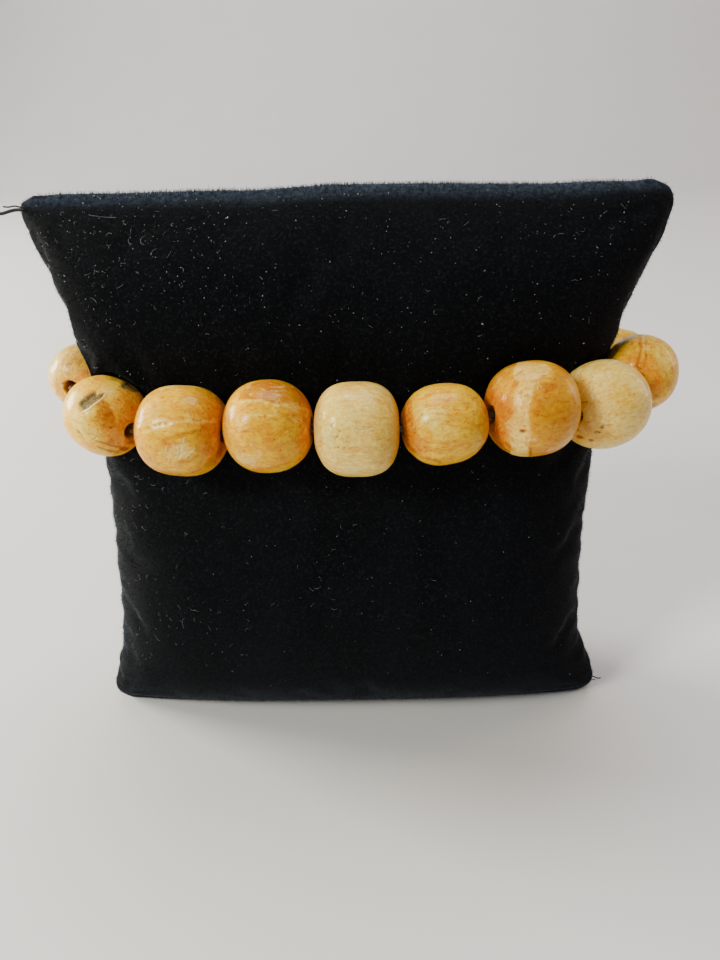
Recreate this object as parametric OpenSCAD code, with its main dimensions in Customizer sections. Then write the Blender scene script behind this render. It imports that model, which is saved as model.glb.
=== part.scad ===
// Beaded stretch bracelet on a small stuffed velvet display pillow.
// Millimetres, Z up. The pillow stands on its flattened foot on the XY plane
// and leans back a little, away from the viewer, who looks along +Y.
// The beads ring the pillow, level with its waist, and press into it.

/* [Pillow] */
// Width of the pillow across its corner ears
pillow_w = 90; // [86:0.5:94]
// Height of the pillow, measured along its lean
pillow_h = 90; // [86:0.5:94]
// How full the filling is, 1 as stuffed
fill = 1; // [0.9:0.02:1.04]
// Backward lean of the pillow in degrees
lean = 6; // [4:0.5:8]
// Rise of the top seam between its two ears
top_arch = 0.2; // [0:0.1:2]

/* [Beads] */
// Bore drilled through every bead
bore_d = 2; // [1.8:0.1:2.4]
// How much wider the bore is at its two mouths
bore_flare = 0.6; // [0.4:0.1:0.8]
// Clear gap between one bead and the next
bead_gap = 0.2; // [0.15:0.05:0.3]
// Clear gap between the beads and the velvet that they press in
velvet_gap = 0.45; // [0.4:0.05:0.6]

/* [Stretch cord] */
// Diameter of the stretch cord
cord_d = 0.8; // [0.6:0.1:0.8]

/* [Hidden] */
$fn = 64;

// One row for each bead, in the order of the string. The string starts at the
// bead behind the pillow's left edge, runs along the front to the right, and
// comes back behind the pillow.
//   length   along the bore
//   dia      across the bore
//   square   2 is an ellipse in profile, more is a squarer barrel
//   heading  direction to the next bead's centre, in degrees seen from above:
//            0 to the right, 90 to the viewer
//   up       height of the centre along the pillow
//   twist    turn of the bore from the line of the string, in degrees
BEADS = [
  // length  dia   square heading  up    twist
  [  9.7,   9.8,   2.2,    58,    65.2,   16 ],
  [ 11.3,  11.0,   2.3,    17,    62.2,    0 ],
  [ 11.8,  12.4,   2.7,     8,    61.1,    0 ],
  [ 11.8,  12.4,   2.3,     4,    62.1,    0 ],
  [ 11.2,  12.6,   2.8,    -2,    61.8,    0 ],
  [ 11.5,  10.9,   2.3,   -10,    62.1,    0 ],
  [ 12.2,  12.9,   2.4,   -25,    63.2,    0 ],
  [ 12.5,  12.7,   2.2,   -49,    61.7,    0 ],
  [ 11.8,  11.4,   2.3,   -88,    63.3,    0 ],
  [ 12.0,  12.0,   2.3,  -141,    61.1,    0 ],
  [ 12.4,  12.4,   2.3,  -178,    61.5,   -5 ],
  [ 12.2,  12.2,   2.4,  -181,    61.5,    0 ],
  [ 12.6,  12.6,   2.3,  -181,    61.5,    0 ],
  [ 12.0,  12.0,   2.4,  -180,    62.0,    0 ],
  [ 12.6,  12.6,   2.3,  -193,    62.0,    0 ],
  [ 12.4,  12.2,   2.4,  -223.5,    62.5,    0 ],
  [ 12.0,  12.2,   2.3,  -259.5,    63.5,    0 ]
];
BEAD_COUNT = len(BEADS);

// Where the first bead's centre sits: to the right, and towards the viewer.
FIRST_BEAD = [-38.8, 3.8];

// One row for each level of the pillow, on its nominal 90 by 90 size.
//   up           height along the lean
//   left, right  half widths at the side seams
//   front, back  swell of the two panels from the plane of the seams
//   seam_l, _r   how far the side seam is pushed towards the viewer
PILLOW = [
  // up   left  right  front  back  seam_l seam_r
  [  0,   44.2, 43.8,   0.6,  13.0,  0,    0   ],
  [  3,   44.8, 44.6,   5.0,  15.6,  0,    0   ],
  [  8,   43.6, 43.4,   9.0,  16.6,  0,    0   ],
  [ 15,   41.6, 40.8,  12.0,  16.6,  0,    0   ],
  [ 25,   40.0, 39.5,  14.2,  16.2,  0.4,  0   ],
  [ 38,   38.6, 39.1,  14.6,  15.0,  1.5, -0.8 ],
  [ 50,   37.4, 39.6,  13.8,  13.6,  3.0, -2.5 ],
  [ 58,   36.8, 40.0,  13.2,  12.6,  4.2, -4.5 ],
  [ 65,   36.8, 40.4,  13.2,  12.4,  4.5, -5.0 ],
  [ 72,   38.2, 41.2,  13.2,  12.4,  4.0, -3.5 ],
  [ 78.5, 40.2, 42.4,  12.0,  11.4,  2.6, -1.5 ],
  [ 84,   42.6, 44.6,   9.0,   8.8,  1.0,  0   ],
  [ 87.6, 44.4, 45.6,   5.6,   5.4,  0,    0   ],
  [ 89.4, 44.0, 44.6,   2.4,   2.4,  0,    0   ],
  [ 90,   42.6, 43.0,   0.7,   0.7,  0,    0   ]
];

// The middle of the whole object's box, so that the origin is under it.
MID_X = 3.2;
MID_Y = 6.6;

// ---- frames -------------------------------------------------------------

// A direction in the pillow's frame [right, towards the viewer, up the lean]
// turned to the standing frame.
function turned(v) = [
  v.x,
  -v.y * cos(lean) + v.z * sin(lean),
  v.y * sin(lean) + v.z * cos(lean)
];
function placed(p) = turned(p) - [MID_X, MID_Y, 0];

// ---- the string of beads ------------------------------------------------

function length_of(i) = BEADS[i][0];
function dia_of(i) = BEADS[i][1];
function square_of(i) = BEADS[i][2];
function next_of(i) = (i + 1) % BEAD_COUNT;

// Direction to the next bead, and of the bore, which halves the string's bend.
function heading(i) = BEADS[i][3];
function heading_in(i) = i == 0 ? heading(BEAD_COUNT - 1) + 360 : heading(i - 1);
function swing(i) = (heading_in(i) + heading(i)) / 2 + BEADS[i][5];

// How far a bead reaches from its centre, at an angle from its bore.
function reach(i, a) =
  let (n = square_of(i))
  pow(pow(abs(cos(a)) / (length_of(i) / 2), n)
    + pow(abs(sin(a)) / (dia_of(i) / 2), n), -1 / n);

// Centre to centre, one bead to the next, with the small gap.
function stride(i) =
  let (j = next_of(i))
  reach(i, heading(i) - (swing(i) - BEADS[i][5]))
    + reach(j, heading_in(j) - (swing(j) - BEADS[j][5])) + bead_gap;

// The centres, each found from the one before, up the table.
function walk(i, at) =
  i == BEAD_COUNT - 1 ? [at] :
  let (rise = BEADS[i + 1][4] - BEADS[i][4],
       run = sqrt(pow(stride(i), 2) - rise * rise))
  concat([at], walk(i + 1, [
    at.x + run * cos(heading(i)),
    at.y + run * sin(heading(i)),
    BEADS[i + 1][4]
  ]));
CENTRES = walk(0, [FIRST_BEAD.x, FIRST_BEAD.y, BEADS[0][4]]);

// Bore direction of each bead: its swing, and the slope from the bead before
// to the bead after.
AXES = [for (i = [0 : BEAD_COUNT - 1])
  let (before = CENTRES[(i + BEAD_COUNT - 1) % BEAD_COUNT],
       after = CENTRES[next_of(i)],
       slope = (after.z - before.z) / norm(after - before),
       v = [cos(swing(i)), sin(swing(i)), slope])
  v / norm(v)];

// Half profile of a drilled barrel bead, from one mouth to the other.
function bead_profile(i, steps = 22) =
  let (n = square_of(i), rl = length_of(i) / 2, rd = dia_of(i) / 2,
       mouth = bore_d / 2 + bore_flare / 2,
       a0 = asin(pow(mouth / rd, n / 2)),
       top = rl * pow(cos(a0), 2 / n))
  concat(
    [[bore_d / 2, top - bore_flare]],
    [for (k = [0 : steps])
      let (a = a0 + (180 - 2 * a0) * k / steps)
      [rd * pow(sin(a), 2 / n), rl * sign(cos(a)) * pow(abs(cos(a)), 2 / n)]],
    [[bore_d / 2, -(top - bore_flare)]]
  );

module bead(i, tone) {
  axis = turned(AXES[i]);
  color(tone)
  translate(placed(CENTRES[i]))
  rotate([0, acos(axis.z), atan2(axis.y, axis.x)])
  rotate_extrude() polygon(bead_profile(i));
}

// ---- the stretch cord ---------------------------------------------------

// Route through every bore and across the gaps, four stations a bead.
ROUTE = [for (i = [0 : BEAD_COUNT - 1], s = [-0.48, -0.16, 0.16, 0.48])
  CENTRES[i] + AXES[i] * length_of(i) * s];

// Points of the tube: one ring of eight at each station, square to the route.
function cord_ring(k) =
  let (m = len(ROUTE),
       along = ROUTE[(k + 1) % m] - ROUTE[(k + m - 1) % m],
       side = cross(along, [0, 0, 1]), side_1 = side / norm(side),
       up_1 = cross(side_1, along) / norm(along))
  [for (q = [0 : 7])
    placed(ROUTE[k] + cord_d / 2 * (cos(45 * q) * side_1 + sin(45 * q) * up_1))];

module elastic() {
  m = len(ROUTE);
  points = [for (k = [0 : m - 1]) each cord_ring(k)];
  faces = [for (k = [0 : m - 1], q = [0 : 7])
    let (a = 8 * k + q, b = 8 * k + (q + 1) % 8,
         c = 8 * ((k + 1) % m) + (q + 1) % 8, d = 8 * ((k + 1) % m) + q)
    each [[a, c, b], [a, d, c]]];
  color("wheat") polyhedron(points, faces);
}

// ---- the pillow ---------------------------------------------------------

// Smooth curve through one column of the pillow's table.
function slope_at(c, k) =
  k == 0 ? (PILLOW[1][c] - PILLOW[0][c]) / (PILLOW[1][0] - PILLOW[0][0]) :
  k == len(PILLOW) - 1 ?
    (PILLOW[k][c] - PILLOW[k - 1][c]) / (PILLOW[k][0] - PILLOW[k - 1][0]) :
  (PILLOW[k + 1][c] - PILLOW[k - 1][c]) / (PILLOW[k + 1][0] - PILLOW[k - 1][0]);
function row_under(t, k = 0) =
  k >= len(PILLOW) - 2 || t < PILLOW[k + 1][0] ? k : row_under(t, k + 1);
function level(c, t) =
  let (k = row_under(t), d = PILLOW[k + 1][0] - PILLOW[k][0],
       s = (t - PILLOW[k][0]) / d)
  (2 * s * s * s - 3 * s * s + 1) * PILLOW[k][c]
    + (s * s * s - 2 * s * s + s) * d * slope_at(c, k)
    + (3 * s * s - 2 * s * s * s) * PILLOW[k + 1][c]
    + (s * s * s - s * s) * d * slope_at(c, k + 1);

// Bands of levels up the pillow. They lie closer together at the foot, where
// the beads press in, and at the top seam.
BANDS = [
  // from  to  levels
  [  0,     6,   6 ],
  [  6,    54,  18 ],
  [ 54,    72,  12 ],
  [ 72,    85,   6 ],
  [ 85,    90,   5 ]
];
UPS = concat([for (b = BANDS, i = [0 : b[2] - 1])
  b[0] + (b[1] - b[0]) * i / b[2]], [90]);
LEVELS = len(UPS) - 1;

// Stations lie closer together near the side seams.
ACROSS = 38;

// The swell of a panel from seam to seam.
function swell(u) = sqrt(max(0, 1 - pow(abs(u), 3)));

// A point of the velvet before the beads press it in. k runs round the level
// from the left seam, along the front to the right seam and back behind.
function loose(j, k) =
  let (t = UPS[j],
       u = -cos(180 * k / ACROSS),
       front = k <= ACROSS,
       half = u < 0 ? level(1, t) : level(2, t),
       seam = (u < 0 ? level(5, t) : level(6, t)) * pow(abs(u), 4),
       deep = (front ? level(3, t) : -level(4, t)) * fill)
  [ u * half * pillow_w / 90,
    seam + deep * swell(u),
    (t + top_arch * (1 - u * u) * pow(t / 90, 4)) * pillow_h / 90 ];

// Press one point out of every bead that it would lie in. The first bead sits
// in the pillow's edge, where the velvet folds sharply round it.
function pressed(p, i = 0) =
  i == BEAD_COUNT ? p :
  let (d = p - CENTRES[i], n = square_of(i),
       gap = velvet_gap + (i == 0 ? 0.25 : 0),
       along = d * AXES[i], off = norm(d - along * AXES[i]),
       f = pow(abs(along) / (length_of(i) / 2 + gap), n)
         + pow(off / (dia_of(i) / 2 + gap), n))
  pressed(f < 1 ? CENTRES[i] + d * pow(f, -1 / n) : p, i + 1);

// The foot is flat on the surface that the pillow stands on.
function velvet(j, k) =
  let (p = loose(j, k),
       q = abs(p.z - 62) < 10 ? pressed(pressed(p)) : p,
       w = placed(q))
  [w.x, w.y, j == 0 ? 0 : max(w.z, 0.02 * j)];

module pillow() {
  m = 2 * ACROSS;
  points = [for (j = [0 : LEVELS], k = [0 : m - 1]) velvet(j, k)];
  wall = [for (j = [0 : LEVELS - 1], k = [0 : m - 1])
    let (a = m * j + k, b = m * j + (k + 1) % m,
         c = m * (j + 1) + (k + 1) % m, d = m * (j + 1) + k)
    each (k % 2 == 0 ? [[a, c, b], [a, d, c]] : [[a, d, b], [b, d, c]])];
  foot = [for (k = [0 : ACROSS - 1])
    let (a = k, b = k + 1, c = (m - k - 1) % m, d = (m - k) % m)
    each k == 0 ? [[a, b, c]] : k == ACROSS - 1 ? [[a, b, d]] : [[a, b, c], [a, c, d]]];
  top = [for (k = [0 : ACROSS - 1])
    let (o = m * LEVELS, a = o + k, b = o + k + 1,
         c = o + (m - k - 1) % m, d = o + (m - k) % m)
    each k == 0 ? [[a, c, b]] : k == ACROSS - 1 ? [[a, d, b]] : [[a, c, b], [a, d, c]]];
  color([0.03, 0.03, 0.035]) polyhedron(points, concat(wall, foot, top));
}

module bead_01() { bead(0, [0.80, 0.66, 0.45]); }
module bead_02() { bead(1, [0.82, 0.62, 0.34]); }
module bead_03() { bead(2, [0.86, 0.58, 0.25]); }
module bead_04() { bead(3, [0.86, 0.55, 0.20]); }
module bead_05() { bead(4, [0.87, 0.77, 0.58]); }
module bead_06() { bead(5, [0.86, 0.64, 0.33]); }
module bead_07() { bead(6, [0.86, 0.55, 0.22]); }
module bead_08() { bead(7, [0.85, 0.73, 0.54]); }
module bead_09() { bead(8, [0.74, 0.56, 0.30]); }
module bead_10() { bead(9, [0.84, 0.72, 0.44]); }
module bead_11() { bead(10, [0.85, 0.62, 0.32]); }
module bead_12() { bead(11, [0.86, 0.74, 0.53]); }
module bead_13() { bead(12, [0.85, 0.57, 0.25]); }
module bead_14() { bead(13, [0.86, 0.66, 0.38]); }
module bead_15() { bead(14, [0.86, 0.76, 0.56]); }
module bead_16() { bead(15, [0.85, 0.58, 0.24]); }
module bead_17() { bead(16, [0.83, 0.65, 0.38]); }

pillow();
bead_01();
bead_02();
bead_03();
bead_04();
bead_05();
bead_06();
bead_07();
bead_08();
bead_09();
bead_10();
bead_11();
bead_12();
bead_13();
bead_14();
bead_15();
bead_16();
bead_17();
elastic();
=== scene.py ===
"""Looks of a beaded stretch bracelet ringed around a small black velvet display pillow.

Lengths in the tables are millimetres, in the pillow's own frame [right, towards the viewer, up the lean]
or, for marks on the beads, pixels of a 720 x 960 frame seen from the camera. Everything built is in metres.
"""

import math

import bpy
import numpy as np
from mathutils import Matrix, Vector
from mathutils.bvhtree import BVHTree


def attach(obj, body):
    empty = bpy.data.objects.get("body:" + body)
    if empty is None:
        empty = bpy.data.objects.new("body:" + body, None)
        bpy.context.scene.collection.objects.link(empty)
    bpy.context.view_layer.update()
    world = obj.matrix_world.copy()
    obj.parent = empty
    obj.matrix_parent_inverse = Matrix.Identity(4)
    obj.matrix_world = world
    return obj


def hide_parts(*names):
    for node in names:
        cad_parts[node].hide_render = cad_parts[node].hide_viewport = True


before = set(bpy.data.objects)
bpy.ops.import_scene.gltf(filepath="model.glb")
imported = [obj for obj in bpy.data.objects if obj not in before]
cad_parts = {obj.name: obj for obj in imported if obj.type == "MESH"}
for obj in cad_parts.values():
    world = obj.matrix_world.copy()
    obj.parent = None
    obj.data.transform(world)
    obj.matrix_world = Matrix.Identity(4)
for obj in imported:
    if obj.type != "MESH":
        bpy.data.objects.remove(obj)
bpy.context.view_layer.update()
scene = bpy.context.scene
rng = np.random.default_rng(7)
MM = 0.001

# ---------------------------------------------------------------- camera

PITCH, YAW, ROLL = (math.radians(a) for a in (31.665, -0.369, -1.264))
EYE = np.array([-0.79, -102.93, 107.51])
_right = np.array([math.cos(YAW), -math.sin(YAW), 0.0])
FWD = np.array([math.sin(YAW) * math.cos(PITCH), math.cos(YAW) * math.cos(PITCH), -math.sin(PITCH)])
_up = np.cross(_right, FWD)
CAM_R = math.cos(ROLL) * _right + math.sin(ROLL) * _up
CAM_U = -math.sin(ROLL) * _right + math.cos(ROLL) * _up


def make_camera():
    cam = bpy.data.cameras.new("camera")
    cam.lens, cam.sensor_width, cam.sensor_fit = 27.0, 36.0, "AUTO"
    cam.clip_start, cam.clip_end = 0.005, 20.0
    ob = bpy.data.objects.new("camera", cam)
    scene.collection.objects.link(ob)
    m = Matrix.Identity(4)
    for row in range(3):
        m[row][0], m[row][1], m[row][2] = CAM_R[row], CAM_U[row], -FWD[row]
        m[row][3] = EYE[row] * MM
    ob.matrix_world = m
    scene.camera = ob


def to_frame(points):
    """Frame pixels of points given in millimetres."""
    d = points - EYE
    z = d @ FWD
    return np.stack([360 + 720 * (d @ CAM_R) / z, 480 - 720 * (d @ CAM_U) / z], axis=1)


def sight_line(u, v):
    d = FWD + CAM_R * (u - 360) / 720 + CAM_U * (480 - v) / 720
    return d / np.linalg.norm(d)


# ---------------------------------------------------------------- small helpers

def hash_grid(ix, iy, iz, seed):
    h = (ix * 374761393 + iy * 668265263 + iz * 2246822519 + (seed + 11) * 1274126177) & 0xFFFFFFFF
    h = ((h ^ (h >> 13)) * 1274126177) & 0xFFFFFFFF
    return ((h ^ (h >> 16)) & 0xFFFF) / 65535.0


def noise(p, scale, seed=0, octaves=3):
    """Smooth value noise from 0 to 1 at points p, with scale features per unit."""
    total, amp, norm = 0.0, 1.0, 0.0
    for o in range(octaves):
        q = p * (scale * 2 ** o) + 100.0 + 13.7 * seed
        i = np.floor(q).astype(np.int64)
        f = q - i
        f = f * f * (3 - 2 * f)
        v = 0.0
        for dx in (0, 1):
            for dy in (0, 1):
                for dz in (0, 1):
                    w = ((f[:, 0] if dx else 1 - f[:, 0]) * (f[:, 1] if dy else 1 - f[:, 1])
                         * (f[:, 2] if dz else 1 - f[:, 2]))
                    v = v + w * hash_grid(i[:, 0] + dx, i[:, 1] + dy, i[:, 2] + dz, seed * 7 + o)
        total, norm, amp = total + amp * v, norm + amp, amp * 0.5
    return total / norm


def ramp(x, lo, hi):
    t = np.clip((x - lo) / (hi - lo), 0, 1)
    return t * t * (3 - 2 * t)


def blend_colour(c, target, w):
    return c + (np.array(target) - c) * w[:, None]


def mesh_object(name, verts, faces, smooth=True, matrix=None):
    """Verts in millimetres, in the row's frame or in the frame that matrix places."""
    me = bpy.data.meshes.new(name)
    verts = np.asarray(verts, np.float64) * MM
    faces = np.asarray(faces, np.int32)
    n, k = faces.shape
    me.vertices.add(len(verts))
    me.vertices.foreach_set("co", verts.astype(np.float32).ravel())
    me.loops.add(n * k)
    me.loops.foreach_set("vertex_index", faces.ravel())
    me.polygons.add(n)
    me.polygons.foreach_set("loop_start", np.arange(0, n * k, k, dtype=np.int32))
    me.polygons.foreach_set("use_smooth", np.full(n, smooth))
    me.update(calc_edges=True)
    me.validate()
    ob = bpy.data.objects.new(name, me)
    scene.collection.objects.link(ob)
    if matrix is not None:
        ob.matrix_world = matrix
    return ob


def set_colour(ob, name, rgb):
    a = ob.data.color_attributes.new(name, "FLOAT_COLOR", "POINT")
    a.data.foreach_set("color", np.c_[rgb, np.ones(len(rgb))].astype(np.float32).ravel())


def set_vector(ob, name, vec):
    a = ob.data.attributes.new(name, "FLOAT_VECTOR", "POINT")
    a.data.foreach_set("vector", np.asarray(vec, np.float32).ravel())


def normals_of(verts, faces):
    a, b, c, d = (verts[faces[:, i]] for i in range(4))
    fn = np.cross(c - a, d - b)
    vn = np.zeros_like(verts)
    for i in range(4):
        np.add.at(vn, faces[:, i], fn)
    return vn / np.maximum(np.linalg.norm(vn, axis=1), 1e-12)[:, None]


class Nodes:
    """A short way to write a material's node tree."""

    def __init__(self, name):
        self.mat = bpy.data.materials.new(name)
        self.mat.use_nodes = True
        self.tree = self.mat.node_tree
        self.tree.nodes.clear()
        self.out = self.add("ShaderNodeOutputMaterial")
        self.bsdf = self.add("ShaderNodeBsdfPrincipled")
        self.link(self.bsdf.outputs[0], self.out.inputs["Surface"])

    def add(self, kind, inputs=None, **props):
        n = self.tree.nodes.new(kind)
        for k, v in props.items():
            setattr(n, k, v)
        for k, v in (inputs or {}).items():
            self.put(n.inputs[k], v)
        return n

    def put(self, socket, v):
        if isinstance(v, bpy.types.NodeSocket):
            self.link(v, socket)
        else:
            socket.default_value = v

    def link(self, a, b):
        self.tree.links.new(a, b)

    def noise(self, vector, scale, detail=3.0, rough=0.55, distortion=0.0):
        return self.add("ShaderNodeTexNoise", {"Vector": vector, "Scale": scale, "Detail": detail,
                                               "Roughness": rough, "Distortion": distortion}).outputs["Fac"]

    def range(self, value, lo, hi, a=0.0, b=1.0):
        return self.add("ShaderNodeMapRange", {"Value": value, "From Min": lo, "From Max": hi,
                                               "To Min": a, "To Max": b}).outputs["Result"]

    def mix(self, fac, a, b, mode="MIX"):
        n = self.add("ShaderNodeMix", data_type="RGBA", blend_type=mode)
        self.put(n.inputs[0], fac)
        self.put(n.inputs[6], a)
        self.put(n.inputs[7], b)
        return n.outputs[2]

    def math(self, op, a, b=0.0):
        n = self.add("ShaderNodeMath", operation=op)
        self.put(n.inputs[0], a)
        self.put(n.inputs[1], b)
        return n.outputs[0]

    def scaled(self, vector, scale):
        return self.add("ShaderNodeMapping", {"Vector": vector, "Scale": scale}).outputs[0]

    def bump(self, height, strength, distance, normal=None):
        ins = {"Height": height, "Strength": strength, "Distance": distance}
        if normal is not None:
            ins["Normal"] = normal
        return self.add("ShaderNodeBump", ins).outputs[0]


# ---------------------------------------------------------------- the beads

# length, dia, square, heading, up, twist: the same string as in the solid model.
BEADS = [
    (9.7, 9.8, 2.2, 58, 65.2, 16), (11.3, 11.0, 2.3, 17, 62.2, 0), (11.8, 12.4, 2.7, 8, 61.1, 0),
    (11.8, 12.4, 2.3, 4, 62.1, 0), (11.2, 12.6, 2.8, -2, 61.8, 0), (11.5, 10.9, 2.3, -10, 62.1, 0),
    (12.2, 12.9, 2.4, -25, 63.2, 0), (12.5, 12.7, 2.2, -49, 61.7, 0), (11.8, 11.4, 2.3, -88, 63.3, 0),
    (12.0, 12.0, 2.3, -141, 61.1, 0), (12.4, 12.4, 2.3, -178, 61.5, -5), (12.2, 12.2, 2.4, -181, 61.5, 0),
    (12.6, 12.6, 2.3, -181, 61.5, 0), (12.0, 12.0, 2.4, -180, 62.0, 0), (12.6, 12.6, 2.3, -193, 62.0, 0),
    (12.4, 12.2, 2.4, -223.5, 62.5, 0), (12.0, 12.2, 2.3, -259.5, 63.5, 0),
]
LEAN = math.radians(6)
MID_X, MID_Y = 3.2, 6.6
BORE_R, MOUTH_R, FLARE, GAP = 1.0, 1.3, 0.6, 0.2


def turned(v):
    v = np.atleast_2d(v)
    return np.stack([v[:, 0], -v[:, 1] * math.cos(LEAN) + v[:, 2] * math.sin(LEAN),
                     v[:, 1] * math.sin(LEAN) + v[:, 2] * math.cos(LEAN)], axis=1)


def placed(p):
    return turned(p) - np.array([MID_X, MID_Y, 0.0])


def string_of_beads():
    n = len(BEADS)
    head = [b[3] for b in BEADS]
    head_in = [head[i - 1] + (360 if i == 0 else 0) for i in range(n)]
    swing = [(head_in[i] + head[i]) / 2 + BEADS[i][5] for i in range(n)]

    def reach(i, a):
        length, dia, sq = BEADS[i][:3]
        a = math.radians(a)
        return ((abs(math.cos(a)) / (length / 2)) ** sq + (abs(math.sin(a)) / (dia / 2)) ** sq) ** (-1 / sq)

    centres = [np.array([-38.8, 3.8, BEADS[0][4]])]
    for i in range(n - 1):
        j = i + 1
        stride = (reach(i, head[i] - (swing[i] - BEADS[i][5]))
                  + reach(j, head_in[j] - (swing[j] - BEADS[j][5])) + GAP)
        rise = BEADS[j][4] - BEADS[i][4]
        run = math.sqrt(stride ** 2 - rise ** 2)
        h = math.radians(head[i])
        centres.append(np.array([centres[i][0] + run * math.cos(h), centres[i][1] + run * math.sin(h), BEADS[j][4]]))
    axes = []
    for i in range(n):
        before, after = centres[i - 1], centres[(i + 1) % n]
        slope = (after[2] - before[2]) / np.linalg.norm(after - before)
        s = math.radians(swing[i])
        v = np.array([math.cos(s), math.sin(s), slope])
        axes.append(v / np.linalg.norm(v))
    return np.array(centres), np.array(axes)


CENTRES, AXES = string_of_beads()

# Colours of the beads, as light reflected: named once, used by the tables below.
C = {
    "cream": (0.95, 0.65, 0.14), "straw": (0.93, 0.540, 0.009), "honey": (0.87, 0.462, 0.001),
    "amber": (0.79, 0.368, 0.0005), "orange": (0.62, 0.240, 0.0003), "rust": (0.32, 0.078, 0.002),
    "brown": (0.085, 0.036, 0.010), "pale": (0.97, 0.70, 0.13), "white": (0.98, 0.83, 0.28),
    "olive": (0.33, 0.235, 0.09), "dark": (0.070, 0.046, 0.018), "tan": (0.54, 0.26, 0.012),
    "khaki": (0.30, 0.17, 0.015), "bone": (0.92, 0.60, 0.11),
}

# Each bead: main colour, second colour, third colour, share of the second, share of the third, grain strength.
TONES = [
    ("cream", "straw", "honey", 0.60, 0.30, 0.35), ("straw", "cream", "honey", 0.50, 0.25, 0.45),
    ("honey", "amber", "straw", 0.55, 0.35, 0.45), ("honey", "straw", "amber", 0.60, 0.35, 0.5),
    ("cream", "pale", "straw", 0.40, 0.25, 0.56), ("straw", "honey", "cream", 0.50, 0.25, 0.5),
    ("amber", "honey", "straw", 0.40, 0.20, 0.4), ("cream", "pale", "straw", 0.55, 0.25, 0.56),
    ("straw", "honey", "khaki", 0.45, 0.20, 0.35), ("straw", "cream", "honey", 0.50, 0.10, 0.5),
    ("honey", "straw", "amber", 0.45, 0.30, 0.5), ("cream", "straw", "pale", 0.40, 0.25, 0.7),
    ("honey", "amber", "straw", 0.70, 0.30, 0.4), ("straw", "honey", "cream", 0.45, 0.30, 0.5),
    ("cream", "pale", "straw", 0.40, 0.30, 0.8), ("amber", "honey", "straw", 0.55, 0.30, 0.4),
    ("straw", "honey", "cream", 0.40, 0.30, 0.5),
]

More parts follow.
